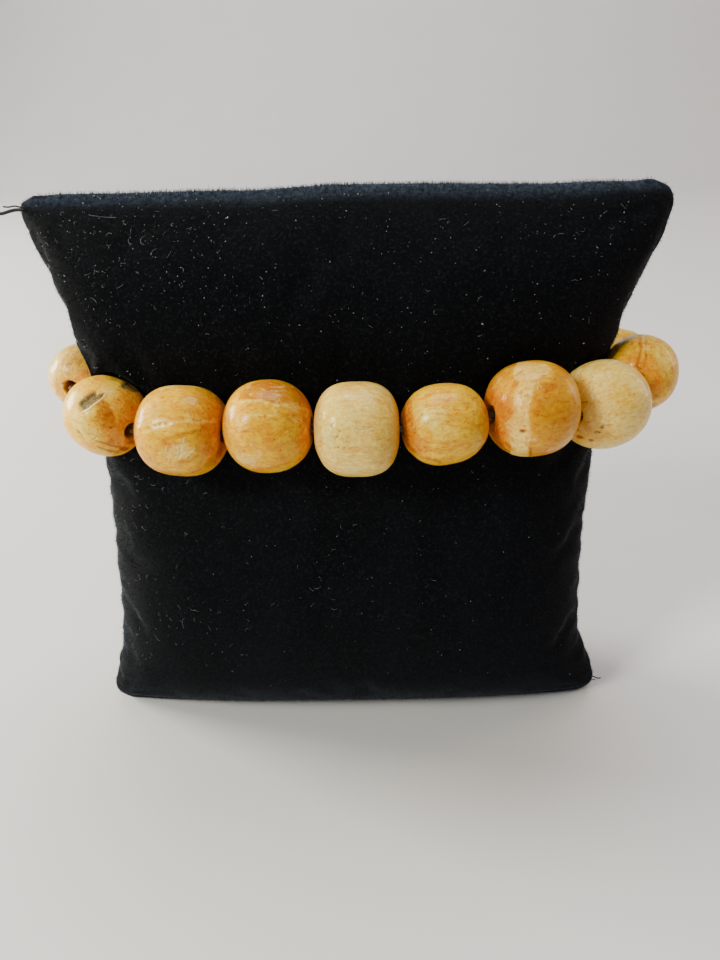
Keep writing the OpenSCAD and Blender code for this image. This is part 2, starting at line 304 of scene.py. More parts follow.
# Marks on the beads, in frame pixels: colour, strength, shape, points, size.
#   blob: one centre, size is (half width, half height, turn in degrees)
#   line: a run of points, size is the half width
#   area: the corners of a patch, size is how soft its edge is
MARKS = {
    0: [
        ("honey", 0.55, "blob", [(83, 360)], (7, 15, 8)), ("orange", 0.35, "blob", [(80, 362)], (3, 4, 0)),
        ("amber", 0.4, "blob", [(87, 378)], (4, 12, 0)), ("khaki", 0.35, "line", [(64, 370), (68, 363)], 0.8),
        ("khaki", 0.35, "line", [(69, 368), (72, 361)], 0.7), ("pale", 0.6, "line", [(75, 384.5), (80, 388)], 1.4),
        ("pale", 0.45, "line", [(62, 382), (68, 396)], 1.3), ("brown", 0.5, "blob", [(72.5, 377)], (0.7, 0.7, 0)),
    ],
    1: [
        ("honey", 0.55, "blob", [(125, 408)], (20, 20, 0)), ("amber", 0.45, "blob", [(133, 405)], (12, 14, 20)),
        # The tall pale blob down the left is partly the bead's pale cream, partly a painted highlight.
        ("pale", 0.7, "blob", [(80, 412)], (11, 26, 0)), ("pale", 0.45, "blob", [(90, 436)], (14, 10, 20)),
        ("orange", 0.8, "blob", [(105, 411)], (8, 12, -10)), ("orange", 0.65, "blob", [(103, 421)], (12, 6, -10)),
        ("orange", 0.45, "blob", [(103, 412)], (9, 11, -12)), ("orange", 0.5, "blob", [(108, 426)], (11, 6, -10)),
        ("rust", 0.36, "blob", [(98.5, 404.5)], (2.4, 1.6, -20)), ("rust", 0.40, "blob", [(103, 402.6)], (3.0, 1.6, 20)),
        ("rust", 0.40, "blob", [(108.4, 406.4)], (2.2, 2.6, 0)), ("rust", 0.36, "blob", [(99, 411)], (3.2, 1.4, 10)),
        ("rust", 0.36, "blob", [(111, 412.6)], (2.0, 2.4, 20)), ("rust", 0.34, "blob", [(96, 417)], (2.8, 1.4, -10)),
        ("rust", 0.38, "blob", [(104.6, 419)], (4.0, 1.6, 15)), ("rust", 0.32, "blob", [(112, 421.6)], (2.2, 1.6, 0)),
        ("rust", 0.30, "blob", [(103, 425)], (3.4, 1.4, -10)),
        ("rust", 0.45, "blob", [(104, 408)], (3, 2.5, 0)), ("rust", 0.45, "blob", [(107, 415)], (3, 2, 0)),
        ("orange", 0.55, "line", [(106, 402), (111, 412), (114, 420)], 1.6), ("white", 0.5, "blob", [(104, 408.5)], (1.6, 1, 30)),
        ("rust", 0.75, "blob", [(111.6, 427.9)], (1.0, 1.1, 0)),
        ("orange", 0.7, "blob", [(111, 441)], (7, 3.4, -15)), ("rust", 0.6, "blob", [(124, 449)], (6.5, 2.6, -12)),
        ("rust", 0.45, "line", [(96, 441), (104, 443), (112, 446), (120, 447)], 1.2), ("rust", 0.45, "blob", [(131, 441)], (7, 4, 0)),
        ("rust", 0.5, "line", [(98, 447), (108, 451), (118, 452)], 1.3), ("khaki", 0.4, "line", [(92, 434), (102, 438)], 0.9),
        ("white", 1.5, "line", [(83, 412), (89, 408.4), (97, 402.6), (102.5, 398.8), (105.5, 394)], 1.0),
        ("white", 0.5, "line", [(79, 406), (80, 400.5), (88, 394.5)], 0.8),
        ("olive", 0.95, "area", [(78.6, 406.2), (79.8, 400.6), (85.6, 395.6), (94.6, 390.8), (97.2, 394.4), (104.2, 393.2), (101.2, 397.6), (96.2, 401.0), (88.9, 407.0), (82.0, 410.6)], 0.8),
        ("dark", 0.85, "line", [(79.6, 404.5), (80.4, 401.6), (86.5, 397.2), (95.0, 391.8)], 0.8),
        ("dark", 0.6, "line", [(100, 395.8), (103.6, 393.6)], 0.9), ("dark", 0.6, "blob", [(81.5, 407.2)], (1.4, 1.2, 0)),
        ("olive", 0.70, "area", [(121.4, 384.4), (125.5, 381.5), (131, 383.2), (134.6, 386), (139.1, 390.2), (134.5, 391.4), (128, 388.6), (123.6, 388)], 1.0),
        ("dark", 0.6, "line", [(122.2, 385.6), (126, 382.4), (129, 382.8)], 0.8), ("dark", 0.4, "line", [(133, 391), (138, 390.6)], 0.8),
        ("khaki", 0.5, "blob", [(119.6, 387)], (0.9, 1.2, 0)), ("brown", 0.8, "area", [(76.4, 430.6), (79.6, 432.4), (78.2, 434.2)], 0.7),
        ("khaki", 0.6, "line", [(80, 433), (82, 436)], 0.7), ("khaki", 0.55, "blob", [(95.2, 438)], (0.9, 1.4, 0)),
        ("khaki", 0.45, "line", [(110, 379), (116, 380)], 0.9),
        ("brown", 0.35, "line", [(124, 424), (128, 421), (134, 421)], 0.8),
    ],
    2: [
        ("amber", 0.7, "blob", [(200, 405)], (20, 16, 20)), ("amber", 0.8, "blob", [(206, 440)], (16, 20, 0)), ("orange", 0.35, "line", [(142, 450), (150, 464), (164, 473), (184, 476), (206, 470)], 4.0),
        ("orange", 0.5, "blob", [(202, 401)], (6, 3.5, 0)), ("orange", 0.35, "blob", [(187, 396)], (4, 2, 0)),
        ("orange", 0.6, "line", [(219, 398), (222, 412), (223.5, 430), (222, 448), (215, 460)], 3.4),
        ("rust", 0.35, "line", [(222, 425), (223, 440), (219, 455)], 2.4),
        ("orange", 0.55, "line", [(162, 441), (172, 437), (181, 435), (192, 432), (200, 430)], 2.2),
        ("orange", 0.45, "blob", [(181, 436)], (6, 3, 0)), ("straw", 0.7, "blob", [(170, 430)], (18, 5, -8)),
        ("pale", 0.6, "line", [(143, 433), (150, 430.4), (158.4, 426.4), (167, 423.6), (176.5, 421.8)], 1.5),
        ("pale", 0.65, "line", [(174, 421.4), (187.2, 420.6), (198.6, 421.6), (215.3, 420.8)], 2.0),
        ("pale", 0.55, "blob", [(188, 414)], (6, 3, 10)), ("brown", 0.55, "line", [(153, 426.6), (160, 424.4), (171, 422.6)], 0.55),
        ("rust", 0.5, "line", [(196, 421), (201, 420.4)], 0.6), ("rust", 0.45, "line", [(192, 433), (195, 430.8)], 0.7),
        ("cream", 0.85, "blob", [(178, 452)], (16, 9.5, -12)), ("tan", 0.15, "blob", [(176, 449)], (12, 7, 0)),
        ("white", 1.27, "line", [(167, 446), (166, 452)], 0.8), ("white", 1.36, "line", [(184.5, 438.6), (183.4, 442)], 0.8),
        ("white", 1.10, "line", [(178, 447), (178.6, 453), (176, 459)], 0.9), ("white", 1.02, "line", [(170, 458), (168.4, 463)], 0.8),
        ("white", 1.10, "line", [(185, 459), (191, 454), (195, 449)], 1.0), ("white", 0.94, "line", [(159, 454), (164, 456)], 0.9),
        ("white", 1.02, "line", [(177, 464), (178, 467)], 0.7), ("white", 0.85, "line", [(182, 458), (187, 458.6)], 1.0),
        ("orange", 0.7, "line", [(176, 463.5), (188, 462.6), (198, 456)], 1.5), ("amber", 0.5, "line", [(158, 450), (163, 443), (174, 439.5)], 2.0), ("orange", 0.4, "blob", [(163.5, 464.6)], (2.2, 1.4, 0)),
        ("rust", 0.25, "blob", [(212, 464)], (8, 5, -30)), ("straw", 0.5, "blob", [(160, 462)], (9, 10, 30)),
        ("pale", 0.55, "line", [(160, 388), (180, 383.4), (200, 385.5)], 2.2), ("pale", 0.4, "blob", [(214, 442)], (4, 7, 0)),
        # The pale blob at (152, 410) down the left side is a painted highlight.
        ("white", 0.5, "line", [(172, 388), (177, 388.6)], 1.2), ("pale", 0.5, "blob", [(152, 410)], (9, 18, 15)),
    ],
    3: [
        ("orange", 0.95, "area", [(238, 398), (244, 388), (256, 381), (272, 378), (290, 381), (304, 390), (312, 402), (314, 412), (300, 405), (284, 403), (262, 399), (245, 401)], 3.0),
        ("orange", 0.55, "line", [(242, 397), (252, 396), (262, 396.6), (272, 400), (281, 403)], 2.0),
        ("orange", 0.45, "blob", [(303, 400)], (6, 7, 0)), ("orange", 0.5, "blob", [(292, 391)], (5, 3, 20)),
        ("rust", 0.35, "line", [(264, 398.6), (272, 401), (280, 403)], 0.8),
        ("pale", 0.75, "line", [(240, 402.6), (246, 400.8), (253, 400), (262, 401), (270.2, 403), (279.2, 405.6)], 1.3),
        ("pale", 0.75, "line", [(246, 415.6), (256, 415.2), (266, 415.4), (275.7, 415.2)], 1.0),
        ("pale", 0.4, "blob", [(292, 406)], (11, 6, 15)), ("pale", 0.5, "blob", [(296, 420)], (7, 4, 0)),
        ("orange", 0.6, "line", [(276, 408), (281, 413.5), (287, 417.5), (294.3, 422.4)], 1.8),
        ("orange", 0.6, "line", [(302, 411), (306, 420), (310.6, 430), (313, 438)], 2.6),
        ("rust", 0.3, "line", [(312, 430), (312, 445), (308, 455)], 2.6), ("orange", 0.5, "line", [(287, 415), (297, 414.6)], 1.2),
        ("amber", 0.6, "blob", [(252, 435.6)], (5.5, 2.2, -8)), ("amber", 0.4, "blob", [(266, 427)], (9, 8, 0)),
        ("amber", 0.3, "blob", [(297, 447)], (10, 12, 0)), ("white", 0.9, "blob", [(249, 386.6)], (3, 1.6, -35)),
        ("white", 0.6, "line", [(262, 389.4), (270, 390.4), (277, 390)], 0.9), ("white", 0.9, "line", [(273, 394.6), (282, 394.8)], 0.9),
        ("white", 0.8, "line", [(271, 386), (284, 386.4)], 0.6), ("white", 0.8, "line", [(276, 391), (285, 389.6)], 0.6),
        ("white", 0.7, "blob", [(250.6, 394)], (1.6, 1, 0)), ("white", 0.7, "blob", [(261.6, 394)], (1.5, 1, 0)),
        ("white", 0.8, "line", [(274.8, 412.4), (278, 410)], 0.7), ("white", 0.6, "blob", [(251.6, 444.6)], (2.2, 2, 0)),
        ("cream", 0.7, "blob", [(247, 460)], (13, 6, 28)), ("white", 0.6, "line", [(245, 463.4), (251, 462), (256, 462.6)], 1.2),
        ("cream", 0.5, "blob", [(258, 455)], (6, 6, 0)), ("white", 0.45, "line", [(264, 467), (270, 466.6)], 1.0),
        ("orange", 0.35, "blob", [(262.6, 462.6)], (2.6, 1.6, 0)), ("orange", 0.5, "blob", [(283, 457.6)], (1.8, 0.8, 0)),
        # The small pale blob at (239, 425) on the left is a painted highlight.
        ("amber", 0.5, "line", [(226.6, 428), (227.4, 414), (230, 404)], 2.4), ("pale", 0.5, "blob", [(239, 425)], (6, 12, 8)),
        ("orange", 0.55, "line", [(254, 384.5), (268, 381.6), (286, 382.6)], 2.0), ("orange", 0.5, "blob", [(297, 389)], (8, 4, 25)),
        ("orange", 0.5, "blob", [(242.6, 394)], (4, 4, -40)), ("orange", 0.5, "line", [(262, 397), (276, 399), (290, 402)], 1.5),
    ],
    4: [
        # The tall pale blob down the left is partly the bead's own cream, partly a painted highlight.
        ("pale", 0.6, "blob", [(333, 425)], (14, 34, 0)), ("straw", 0.35, "blob", [(386, 430)], (14, 34, 0)),
        ("tan", 0.25, "blob", [(380, 455)], (18, 14, 0)),
        ("honey", 0.5, "line", [(341, 401), (350, 399.6), (357, 400.4)], 0.8), ("amber", 0.55, "line", [(374, 399), (380, 400)], 1.1),
        ("amber", 0.5, "blob", [(370.4, 415.6)], (2.4, 1.2, 0)), ("honey", 0.45, "line", [(358, 415), (368, 415.6)], 0.8),
        ("honey", 0.45, "line", [(376, 418), (392, 417.4)], 1.1), ("amber", 0.75, "line", [(350.2, 447), (357.4, 447.6)], 1.0),
        ("amber", 0.5, "blob", [(358.6, 451)], (1.6, 1.4, 0)), ("amber", 0.5, "line", [(371.3, 439), (377, 440.4)], 1.0),
        ("orange", 0.35, "blob", [(347.5, 437.4)], (3, 2, 0)), ("honey", 0.5, "blob", [(388, 427.5)], (2.4, 1.6, 0)),
        ("honey", 0.45, "blob", [(388, 446)], (1.6, 1.6, 0)), ("rust", 0.35, "blob", [(379.8, 403.6)], (1.6, 0.8, 0)),
        ("honey", 0.5, "blob", [(350, 461)], (2.4, 1.2, 0)), ("honey", 0.4, "line", [(357, 471), (368, 470)], 1.4),
        ("white", 0.9, "line", [(361.1, 389.6), (367, 391.6), (373.6, 395)], 0.8), ("white", 0.85, "line", [(367.3, 398.8), (372.2, 400.8)], 0.8),
        ("white", 0.6, "line", [(345, 397.6), (349, 396.4)], 0.9), ("white", 0.4, "line", [(358, 467), (372, 462)], 1.4),
        ("khaki", 0.45, "line", [(356, 421.6), (362, 422)], 0.6), ("khaki", 0.4, "line", [(366, 432), (374, 431)], 0.6),
        ("khaki", 0.4, "line", [(376, 440), (392, 439)], 0.6), ("khaki", 0.35, "line", [(362, 427), (380, 426)], 0.5),
        ("khaki", 0.35, "line", [(364, 447), (384, 445)], 0.5), ("pale", 0.5, "blob", [(340, 436)], (9, 12, 0)),
        ("brown", 0.7, "blob", [(333.8, 423.2)], (1.3, 0.7, 0)), ("dark", 0.55, "blob", [(330.9, 426.6)], (0.7, 1.4, 0)),
        ("dark", 0.55, "blob", [(337.4, 428.4)], (1.0, 0.8, -30)), ("dark", 0.7, "blob", [(339.4, 431.2)], (0.8, 0.8, 0)),
        ("brown", 0.6, "line", [(335.4, 437.6), (338.4, 435.8)], 0.8), ("khaki", 0.6, "blob", [(334.6, 431.6)], (1.0, 0.6, 0)),
        ("khaki", 0.7, "blob", [(335, 446.6)], (0.9, 1.0, 0)), ("khaki", 0.75, "blob", [(338, 447.6)], (1.0, 1.0, 0)),
        ("khaki", 0.7, "blob", [(344, 447)], (0.9, 1.2, 0)), ("khaki", 0.6, "blob", [(336.6, 441)], (1.0, 0.7, 0)),
        ("khaki", 0.6, "blob", [(342.6, 440)], (0.9, 0.7, 0)), ("khaki", 0.5, "blob", [(337.2, 463.7)], (0.8, 1.0, 0)),
        ("khaki", 0.45, "blob", [(333, 455)], (0.7, 0.7, 0)),
        ("honey", 0.60, "line", [(395, 398), (399.5, 412), (400.5, 430), (398, 450), (392, 462)], 3.4),
        ("amber", 0.35, "line", [(399, 402), (401, 428), (398, 455)], 1.6), ("honey", 0.4, "line", [(338, 386.5), (356, 382.5), (380, 383), (394, 390)], 2.4),
        # The white blob at (328, 438) is a painted highlight.
        ("honey", 0.30, "blob", [(384, 408)], (8, 9, 0)), ("white", 0.8, "blob", [(328, 438)], (6, 14, 0)), ("white", 0.6, "blob", [(352, 469)], (18, 4, 0)),
    ],
    5: [
        ("pale", 0.65, "blob", [(433, 412)], (20, 18, -20)), ("pale", 0.35, "blob", [(446, 432)], (16, 10, 0)),
        ("orange", 0.60, "area", [(402, 412), (406, 400), (411, 398), (412.6, 410), (414.6, 424), (418, 434), (426, 441), (434, 450), (420, 455), (408, 446), (402, 432)], 2.2),
        ("orange", 0.55, "line", [(403, 418), (403.6, 432), (408, 445)], 2.4), ("orange", 0.6, "blob", [(413.6, 429)], (2.2, 3.4, -15)),
        ("rust", 0.45, "blob", [(413.4, 433)], (1.2, 1.2, 0)), ("rust", 0.3, "line", [(404, 436), (408, 446), (415, 452)], 1.8),
        ("amber", 0.45, "blob", [(443, 451)], (18, 5, 0)), ("orange", 0.45, "blob", [(435.4, 450.4)], (2.4, 2.6, 0)),
        ("orange", 0.4, "line", [(455, 447.6), (464, 445)], 1.6), ("honey", 0.6, "line", [(451, 403.4), (458, 402.6), (465, 403.6), (467, 408)], 2.4),
        ("amber", 0.5, "blob", [(468.4, 419)], (3.0, 4.4, 0)), ("amber", 0.4, "line", [(466, 437), (471, 434), (473, 428)], 2.0),
        ("amber", 0.65, "line", [(484.6, 408), (486.4, 424), (484, 438)], 2.6), ("honey", 0.5, "blob", [(474, 440)], (10, 8, 0)),
        ("honey", 0.6, "line", [(438, 397.6), (446, 399)], 1.4), ("honey", 0.45, "blob", [(444, 410.6)], (2.6, 1.0, 0)),
        ("honey", 0.5, "blob", [(466, 393)], (4, 2.6, 20)), ("khaki", 0.4, "line", [(473, 400), (476, 396.6), (478, 397.6)], 0.8),
        ("rust", 0.25, "line", [(410, 449), (424, 458), (440, 463)], 1.4), ("honey", 0.5, "line", [(446, 458), (462, 458), (474, 454)], 2.0),
        ("white", 0.5, "blob", [(454.6, 452)], (1.8, 1.4, 0)), ("khaki", 0.3, "line", [(426, 443), (432, 444)], 0.6),
        ("white", 0.35, "line", [(446, 427), (452, 425)], 0.8), ("honey", 0.45, "line", [(424, 405), (432, 403), (438, 404)], 1.8),
        ("pale", 0.5, "blob", [(432, 416)], (13, 11, -10)), ("orange", 0.45, "line", [(402, 406), (401.5, 424), (404.5, 440)], 2.4),
    ],
    6: [
        ("orange", 0.50, "blob", [(554, 408)], (24, 40, 0)), ("orange", 0.6, "blob", [(561, 375)], (10, 11, 30)), ("orange", 0.3, "blob", [(505, 374)], (9, 9, 30)), ("orange", 0.5, "line", [(575, 392), (577, 412), (574, 430)], 2.6),
        ("straw", 0.45, "blob", [(502, 388)], (9, 12, 20)), ("pale", 0.5, "line", [(494, 388), (500, 378)], 1.6),
        ("orange", 0.75, "line", [(489, 402), (493, 412), (497, 428), (501, 440), (510, 452)], 3.6),
        ("rust", 0.35, "line", [(492, 430), (497, 442), (505, 451)], 2.4), ("amber", 0.6, "blob", [(503, 430)], (6, 16, -8)),
        ("straw", 0.5, "line", [(508, 424), (509, 440)], 2.0), ("orange", 0.6, "line", [(508, 366), (518, 364)], 1.8),
        ("bone", 0.85, "area", [(518, 361.5), (546.7, 363.2), (552.3, 369.5), (546, 375), (536.1, 379), (533.6, 394.1), (529.4, 406), (528.4, 415.2), (530.0, 424), (531.5, 436.2), (527.6, 447), (528.4, 459), (509.9, 457), (511, 448), (509.6, 436), (504, 424), (511.5, 415.2), (512.4, 400), (514.4, 391.3), (518.3, 382.5), (512.3, 376.5), (513.5, 368.1)], 1.1),
        ("cream", 0.5, "blob", [(520, 440)], (9, 16, 0)), ("tan", 0.35, "line", [(534, 380), (534.6, 386), (533, 398)], 1.4),
        ("orange", 0.85, "blob", [(515.6, 383)], (3.2, 4.2, 10)), ("orange", 0.6, "blob", [(512, 388)], (2.6, 3.4, 20)),
        ("straw", 0.7, "blob", [(548, 378)], (8, 4, -20)), ("white", 0.5, "line", [(538, 383), (543.6, 390.4)], 0.7),
        ("white", 0.5, "line", [(515, 368.6), (520, 368)], 0.8), ("white", 0.5, "line", [(514, 376.6), (524, 376.4)], 0.9),
        ("white", 0.4, "line", [(538, 370), (548, 372)], 1.0), ("white", 0.4, "line", [(541, 398), (546, 401)], 0.8),
        ("honey", 0.5, "line", [(540, 367.4), (550, 367)], 0.7), ("orange", 0.4, "blob", [(538, 424)], (3, 4.4, 0)),
        ("rust", 0.9, "blob", [(522.6, 431.3)], (3.6, 2.2, 8)), ("cream", 0.8, "blob", [(522.4, 430.2)], (1.1, 0.8, 0)),
        ("tan", 0.5, "blob", [(523, 420)], (2.6, 4, 0)), ("white", 0.85, "line", [(529, 440.6), (533, 439.6), (536.6, 440.2)], 1.2),
        ("rust", 0.5, "blob", [(532.6, 439.4)], (1.3, 0.6, 0)), ("rust", 0.5, "line", [(530.6, 449), (530.4, 456)], 1.3),
        ("khaki", 0.55, "line", [(512, 439), (512.6, 443)], 0.6), ("rust", 0.3, "line", [(506, 444), (512, 450)], 1.2),
        ("orange", 0.35, "line", [(534, 450), (546, 450)], 2.4), ("white", 0.4, "line", [(546, 452), (552, 449)], 0.9),
        ("khaki", 0.35, "line", [(520, 392), (527, 393.4), (530, 397)], 0.6), ("khaki", 0.3, "line", [(519, 400), (527, 402)], 0.6),
    ],
    7: [
        ("pale", 0.6, "blob", [(605, 372)], (30, 14, 0)), ("straw", 0.4, "blob", [(582, 394)], (9, 18, 0)),
        ("straw", 0.45, "blob", [(625, 398)], (16, 14, 20)), ("tan", 0.5, "blob", [(582, 430)], (13, 16, 30)),
        ("tan", 0.35, "blob", [(600, 432)], (16, 12, 10)), ("cream", 0.6, "blob", [(618, 425)], (18, 10, 0)),
        ("rust", 0.6, "line", [(594, 433), (597, 432), (599.6, 433.2)], 0.9), ("rust", 0.55, "blob", [(602, 428)], (2.4, 2.2, 30)),
        ("rust", 0.6, "blob", [(591, 440.8)], (3.2, 1.8, 10)), ("rust", 0.65, "blob", [(580, 437.4)], (4, 2.4, 10)),
        ("rust", 0.5, "blob", [(575.6, 427)], (3.6, 6.6, 20)), ("rust", 0.4, "blob", [(588, 422)], (2.4, 1, 0)),
        ("rust", 0.45, "line", [(582, 402.6), (587, 402)], 1.0), ("orange", 0.4, "blob", [(605, 373.4)], (2.4, 1.6, 0)),
        ("orange", 0.35, "line", [(608, 398.6), (613, 397.6)], 1.0), ("honey", 0.35, "line", [(600, 404), (618, 394), (628, 391)], 0.9),
        ("orange", 0.3, "line", [(631, 416.6), (635, 416.4)], 0.8), ("orange", 0.3, "blob", [(580, 377)], (1.2, 0.8, 0)),
        ("brown", 0.85, "line", [(578.4, 401), (578.8, 407), (578.4, 412), (577.4, 419)], 1.0),
        ("rust", 0.35, "line", [(603, 426), (614, 425)], 0.7), ("orange", 0.25, "blob", [(570, 447)], (3, 2, 0)),
    ],
    8: [
        # The faint khaki and brown runs down the upper left are painted shade, where the pillow's edge shades the bead.
        ("pale", 0.4, "blob", [(663, 360)], (10, 22, -20)), ("khaki", 0.12, "line", [(603, 362), (608, 352), (616, 343.6), (626, 338.4)], 4.4),
        ("brown", 0.10, "line", [(603, 360), (608, 351), (614, 345)], 1.8), ("honey", 0.4, "blob", [(628, 355)], (9, 10, 0)),
        ("orange", 0.75, "line", [(640.1, 334), (640.6, 347.6), (639.2, 358.8), (636.6, 366.4), (638.4, 372.4), (643, 375.4)], 1.6),
        ("orange", 0.6, "line", [(646.4, 337), (645.4, 350.2), (646.2, 357), (643.5, 368.2)], 1.2),
        ("orange", 0.45, "blob", [(653.6, 346)], (1.8, 2, 0)), ("rust", 0.5, "blob", [(643.4, 375)], (1.2, 1.0, 0)),
        ("rust", 0.4, "line", [(636.6, 366), (642, 369)], 1.0), ("rust", 0.45, "blob", [(652.5, 406)], (7, 2.6, -20)),
        ("orange", 0.5, "blob", [(666, 395.4)], (1.8, 1.8, 0)), ("khaki", 0.4, "blob", [(655, 397)], (6, 4, -20)),
        ("honey", 0.5, "blob", [(650, 388)], (10, 10, 0)), ("tan", 0.4, "blob", [(669, 384)], (3, 6, 0)),
        ("orange", 0.3, "line", [(647, 371), (662, 370), (668, 375)], 0.8),
    ],
    9: [("straw", 0.5, "blob", [(617, 338)], (8, 9, 0))],
}

# Hollows, in frame pixels: depth in millimetres, then a shape as above.
PITS = {
    0: [(1.5, "area", [(62.6, 383.2), (71.3, 382.2), (77.4, 384.8), (80, 392), (69.2, 395)], 1.0)],
    1: [
        (0.42, "area", [(78.6, 406.2), (79.8, 400.6), (85.6, 395.6), (94.6, 390.8), (97.2, 394.4), (104.2, 393.2), (101.2, 397.6), (96.2, 401.0), (88.9, 407.0), (82.0, 410.6)], 1.3),
        (0.20, "area", [(121.4, 384.4), (125.5, 381.5), (131, 383.2), (134.6, 386), (139.1, 390.2), (134.5, 391.4), (128, 388.6), (123.6, 388)], 1.5),
        (0.25, "area", [(76.4, 430.6), (79.8, 432.4), (78.2, 434.4)], 1.0), (0.12, "blob", [(111.6, 427.9)], (1.2, 1.2, 0)),
        (0.10, "line", [(80, 433), (82, 436)], 0.9), (0.10, "blob", [(95.2, 438)], (1.1, 1.5, 0)),
    ],
    2: [(0.07, "blob", [(178, 452)], (17, 10, -12)), (0.08, "line", [(153, 426.6), (160, 424.4), (171, 422.6)], 0.8)],
    3: [(0.05, "blob", [(274, 390)], (14, 6, 0)), (0.05, "blob", [(248, 460)], (12, 6, 28))],
    4: [
        (0.16, "blob", [(333.8, 423.2)], (1.6, 0.9, 0)), (0.16, "blob", [(330.9, 426.6)], (1.0, 1.6, 0)),
        (0.16, "blob", [(337.4, 428.4)], (1.3, 1.1, -30)), (0.22, "blob", [(339.4, 431.2)], (1.2, 1.2, 0)),
        (0.16, "line", [(335.2, 437.6), (338.4, 435.8)], 1.1), (0.14, "blob", [(335, 446.6)], (1.2, 1.3, 0)),
        (0.16, "blob", [(338, 447.6)], (1.3, 1.3, 0)), (0.14, "blob", [(344, 447)], (1.2, 1.5, 0)),
        (0.12, "blob", [(336.6, 441)], (1.3, 1.0, 0)), (0.12, "blob", [(342.6, 440)], (1.2, 1.0, 0)),
        (0.10, "blob", [(337.2, 463.7)], (1.0, 1.3, 0)), (0.10, "blob", [(334.6, 431.6)], (1.2, 0.8, 0)),
    ],
    6: [(0.20, "blob", [(522.6, 431.6)], (3.2, 1.9, 8)), (0.05, "blob", [(520, 410)], (9, 44, 0)), (0.08, "line", [(512, 439), (512.6, 443)], 0.9)],
    7: [(0.35, "line", [(578.2, 401), (578.6, 407), (578.2, 412), (577.2, 419)], 1.3), (0.08, "blob", [(596.6, 432.8)], (2.4, 1.0, 0))],
}


def shape_mask(uv, wobble, shape, pts, size):
    """From 0 outside to 1 inside a listed mark, its edge roughened by wobble."""
    q = uv + wobble
    if shape == "blob":
        rx, ry, turn = size
        a = math.radians(turn)
        d = q - np.array(pts[0])
        x = d[:, 0] * math.cos(a) + d[:, 1] * math.sin(a)
        y = -d[:, 0] * math.sin(a) + d[:, 1] * math.cos(a)
        return 1 - ramp(np.hypot(x / rx, y / ry), 0.45, 1.15)
    if shape == "line":
        best = np.full(len(q), 1e9)
        for a, b in zip(pts[:-1], pts[1:]):
            a, b = np.array(a, float), np.array(b, float)
            t = np.clip(((q - a) @ (b - a)) / max((b - a) @ (b - a), 1e-9), 0, 1)
            best = np.minimum(best, np.linalg.norm(q - (a + t[:, None] * (b - a)), axis=1))
        return 1 - ramp(best, 0.45 * size, 1.35 * size)
    pts = np.array(pts, float)
    inside = np.zeros(len(q), bool)
    best = np.full(len(q), 1e9)
    for a, b in zip(pts, np.roll(pts, -1, axis=0)):
        cross = (a[1] > q[:, 1]) != (b[1] > q[:, 1])
        with np.errstate(divide="ignore", invalid="ignore"):
            x = (b[0] - a[0]) * (q[:, 1] - a[1]) / (b[1] - a[1]) + a[0]
        inside ^= cross & (q[:, 0] < x)
        t = np.clip(((q - a) @ (b - a)) / max((b - a) @ (b - a), 1e-9), 0, 1)
        best = np.minimum(best, np.linalg.norm(q - (a + t[:, None] * (b - a)), axis=1))
    return ramp(np.where(inside, best, -best), -0.5 * size, 0.8 * size)


def bead_grid(i, around, along):
    """Points of a drilled barrel, ring by ring from one mouth over the outside and back through the bore."""
    length, dia, sq = BEADS[i][:3]
    rl, rd = length / 2, dia / 2
    a0 = math.asin((MOUTH_R / rd) ** (sq / 2))
    a = np.linspace(a0, math.pi - a0, 1200)
    r = rd * np.sin(a) ** (2 / sq)
    z = rl * np.sign(np.cos(a)) * np.abs(np.cos(a)) ** (2 / sq)
    arc = np.r_[0, np.cumsum(np.hypot(np.diff(r), np.diff(z)))]
    s = np.linspace(0, arc[-1], along)
    r, z = np.interp(s, arc, r), np.interp(s, arc, z)
    top = z[0]
    # A rounded lip, then the bore wall.
    lip = [(BORE_R + 0.16, top - 0.13), (BORE_R + 0.05, top - 0.32), (BORE_R, top - FLARE)]
    wall = [(BORE_R, t) for t in np.linspace(top - FLARE, -(top - FLARE), 12)[1:-1]]
    prof = ([(r[k], z[k]) for k in range(along)] + [(p, -q) for p, q in lip]
            + [(p, -q) for p, q in wall] + [(p, q) for p, q in reversed(lip)])
    prof = np.array(prof)
    ang = np.linspace(0, 2 * math.pi, around, endpoint=False)
    m = len(prof)
    pts = np.stack([prof[:, None, 0] * np.cos(ang), prof[:, None, 0] * np.sin(ang),
                    np.repeat(prof[:, 1:2], around, axis=1)], axis=2).reshape(-1, 3)
    j, k = np.meshgrid(np.arange(m), np.arange(around), indexing="ij")
    a_, b_ = j * around + k, j * around + (k + 1) % around
    c_, d_ = ((j + 1) % m) * around + (k + 1) % around, ((j + 1) % m) * around + k
    faces = np.stack([a_, d_, c_, b_], axis=2).reshape(-1, 4)
    outside = np.repeat(np.arange(m) < along, around)
    return pts, faces, outside


